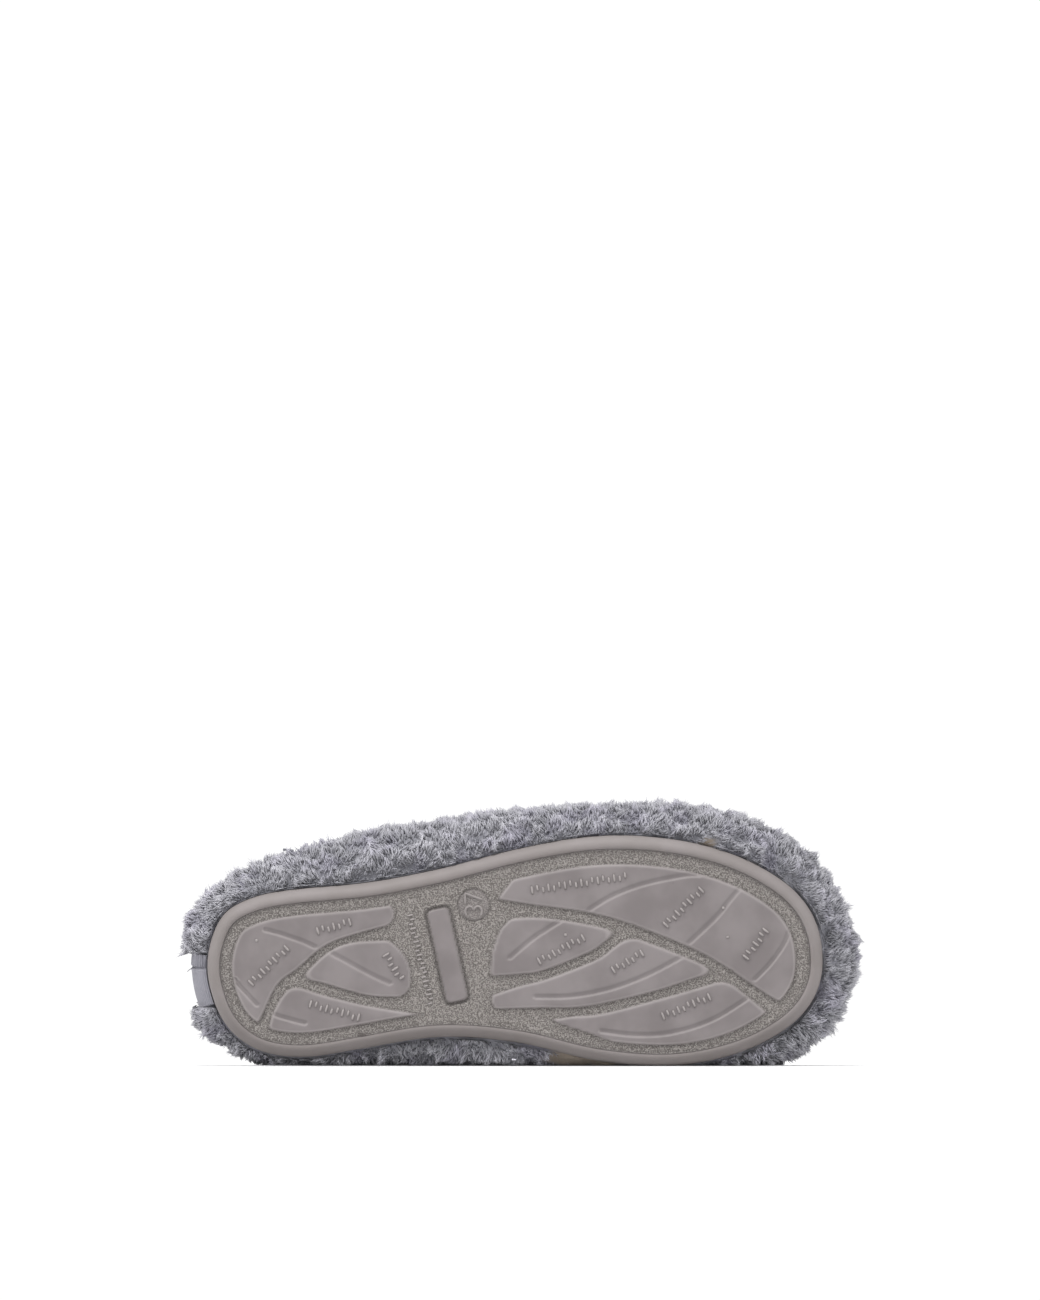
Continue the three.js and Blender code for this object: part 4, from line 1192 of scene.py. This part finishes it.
# Strip at the centre back: smooth weave with fine lines, gathered beside its seam
def makeHeelTab():
    s = tabSettings
    width = s["width"] - 0.6
    across = np.linspace(-width / 2, width / 2, 61) + s["middle"]
    turn = tabTurns(across)
    limit = riseLimit(s["depth"], turn)
    rise = np.concatenate([np.linspace(-1, 0, 71)[:-1], np.linspace(0, 0.93, 32)])
    level = np.stack([np.where(value < 0, value, value * limit) for value in rise])
    outer = upperPoint(s["depth"], turn[None], level)
    inner = upperPoint(s["depth"] + s["thickness"], turn[None], level)
    outward = unit(outer - inner)
    seam = np.exp(-((across - s["seam"]) / 0.4) ** 2)
    ridge = np.exp(-((across - s["seam"] - 1.1) / 0.7) ** 2)
    folds = smoothStep(s["seam"], s["seam"] - 0.5, across) * np.exp(-np.maximum(s["seam"] - across, 0) / 4.5)
    step = np.linalg.norm(np.diff(outer, axis=0), axis=-1)
    length = 2 * math.pi * np.concatenate([np.zeros((1, step.shape[1])), np.cumsum(step, 0)])
    wave = np.cos(length / s["foldPitch"] + 1.8 * softNoise(outer, 2.4, 31))
    weave = np.cos(length / s["weavePitch"])
    push = 0.4 * folds * wave - 0.5 * seam + 0.2 * ridge + 0.06 * weave * (1 - folds)
    outer = outer + outward * push[..., None]
    # painted shade in the creases of the folds, painted highlight on their crests and on the ridge beside the
    # seam
    shade = np.clip(0.62 - 0.7 * seam + 0.12 * ridge - folds * (0.14 - 0.35 * wave) + 0.13 * weave, 0, 1)
    grid = np.stack([outer, inner])
    rows, columns = outer.shape[:2]
    front = gridFaces(rows, columns)
    back = front[:, ::-1] + rows * columns
    rim = np.concatenate([np.arange(columns), columns * np.arange(1, rows) + columns - 1,
                          columns * (rows - 1) + np.arange(columns - 1)[::-1],
                          columns * np.arange(1, rows - 1)[::-1]])
    following = np.roll(rim, -1)
    wall = np.stack([following, rim, rim + rows * columns, following + rows * columns], -1)
    m = Shader("tab_weave", Roughness=0.8, Specular_IOR_Level=0.25, Sheen_Weight=0.2)
    place = m.objectPlace()
    stripe = m.noise(m.stretched(place, (2600.0, 2600.0, 160.0)), 1.0, 2.0)
    colour = m.tones(m.attribute("shade") * 0.75 + stripe * 0.5 - 0.13, (85, 84, 92), (158, 157, 165))
    m.set(Base_Color=colour, Normal=m.bump(stripe, 0.0003, 0.8))
    values = {"shade": np.concatenate([shade.ravel(), np.full(rows * columns, 0.3)])}
    makePiece("heel_strip", grid.reshape(-1, 3), [front, back, wall], m.material, values,
              replaces=["heel_tab"], press=0.0002)
    makeThread(m.material)


# Turns of the outline whose points at the strip's depth have the given y
def tabTurns(across):
    turn = np.linspace(0.8 * math.pi, 1.2 * math.pi, 400)
    y = pilePoint(turn, np.full_like(turn, -tabSettings["depth"]))[:, 1]
    return np.interp(across, y[::-1], turn[::-1])


# Loose end of thread at the strip's seam
def makeThread(material):
    start = np.append(solePlace(193, 968), 13.0)
    t = np.linspace(0, 1, 9)
    path = start + np.column_stack([-2.9 * t, 1.6 * t ** 2, -1.0 * np.sin(3 * t)])
    points, faces = tubeAlong(path, 0.24 * (1 - 0.5 * t)[:, None], 6)
    makePiece("seam_thread", points, faces, material, {"shade": np.full(len(points), 0.35)})


# Fleck of lint or fibre caught in the pile: a short bent tube
def makeFleck(name, start, reach, radius, dark, light):
    t = np.linspace(0, 1, 6)[:, None]
    path = start + np.array(reach) * t + np.array([0.0, 0.0, 0.3]) * np.sin(4 * t)
    points, faces = tubeAlong(path, radius * (1 - 0.4 * t), 6)
    m = Shader(name, Roughness=0.9, Sheen_Weight=0.2)
    m.set(Base_Color=m.tones(m.noise(m.objectPlace(), 3000.0), dark, light))
    makePiece(name, points, faces, m.material, {})


# White lint near the arch, and a dark tip of the piping's yarn that stands out of the pile
def makeFlecks():
    lint = np.append(solePlace(510.5, 1058), 4.3)
    makeFleck("lint_fleck", lint, [1.5, 0.1, 0.2], 0.34, (214, 212, 220), (240, 239, 246))
    tip = upperPoint(1.7, np.array([-2.3]), np.array([0.02]))[0]
    makeFleck("yarn_tip", tip, [-4.0, -0.9, 0.0], 0.8, (86, 86, 94), (118, 118, 126))


# Floor, lights and a white surround
stageSettings = {"half": 0.42, "aim": (0, 0, 0.05), "soft": 0.4, "white": 1.05}
lampRows = [
    {"name": "key", "place": (-0.12, -0.7, 1.6), "size": 0.6, "power": 23.5},
    {"name": "left", "place": (-1.4, -0.7, 0.7), "size": 0.8, "power": 15.5},
    {"name": "right", "place": (1.4, -0.7, 0.7), "size": 0.8, "power": 12.5},
    {"name": "back", "place": (0.2, 1.2, 1.1), "size": 1.2, "power": 12.0},
]


def makeStage():
    s = stageSettings
    half = s["half"]
    corners = [(-half, -half, 0), (half, -half, 0), (half, half, 0), (-half, half, 0)]
    data = bpy.data.meshes.new("floor")
    data.from_pydata(corners, [], [(0, 1, 2, 3)])
    floor = bpy.data.objects.new("floor", data)
    bpy.context.scene.collection.objects.link(floor)
    data.materials.append(Shader("pale_floor", Base_Color=(0.77, 0.77, 0.77, 1.0), Roughness=0.9).material)
    for row in lampRows:
        light = bpy.data.lights.new(row["name"], "AREA")
        light.energy = row["power"]
        light.size = row["size"]
        lamp = bpy.data.objects.new(row["name"], light)
        lamp.location = row["place"]
        lamp.rotation_euler = (Vector(s["aim"]) - Vector(row["place"])).to_track_quat("-Z", "Y").to_euler()
        bpy.context.scene.collection.objects.link(lamp)
    world = bpy.data.worlds.new("surround")
    world.use_nodes = True
    bpy.context.scene.world = world
    nodes, links = world.node_tree.nodes, world.node_tree.links
    nodes.clear()
    output = nodes.new("ShaderNodeOutputWorld")
    soft, white = nodes.new("ShaderNodeBackground"), nodes.new("ShaderNodeBackground")
    soft.inputs["Color"].default_value = (0.98, 0.98, 1.0, 1.0)
    soft.inputs["Strength"].default_value = s["soft"]
    white.inputs["Color"].default_value = (1.0, 1.0, 1.0, 1.0)
    white.inputs["Strength"].default_value = s["white"]
    path, choose = nodes.new("ShaderNodeLightPath"), nodes.new("ShaderNodeMixShader")
    links.new(path.outputs["Is Camera Ray"], choose.inputs[0])
    links.new(soft.outputs[0], choose.inputs[1])
    links.new(white.outputs[0], choose.inputs[2])
    links.new(choose.outputs[0], output.inputs[0])
    bpy.context.scene.view_settings.view_transform = "Standard"
    print("stage set")


makeCamera()
makeStage()
makeOutsole()
makeNumber(makeRibs())
pile = pileMaterial("long_pile", (126, 126, 132), (200, 199, 205), 2200.0, 0.2)
makeUpper(pile)
makePile(pile)
makeFootbed()
makeBinding()
makeHeelTab()
makeFlecks()
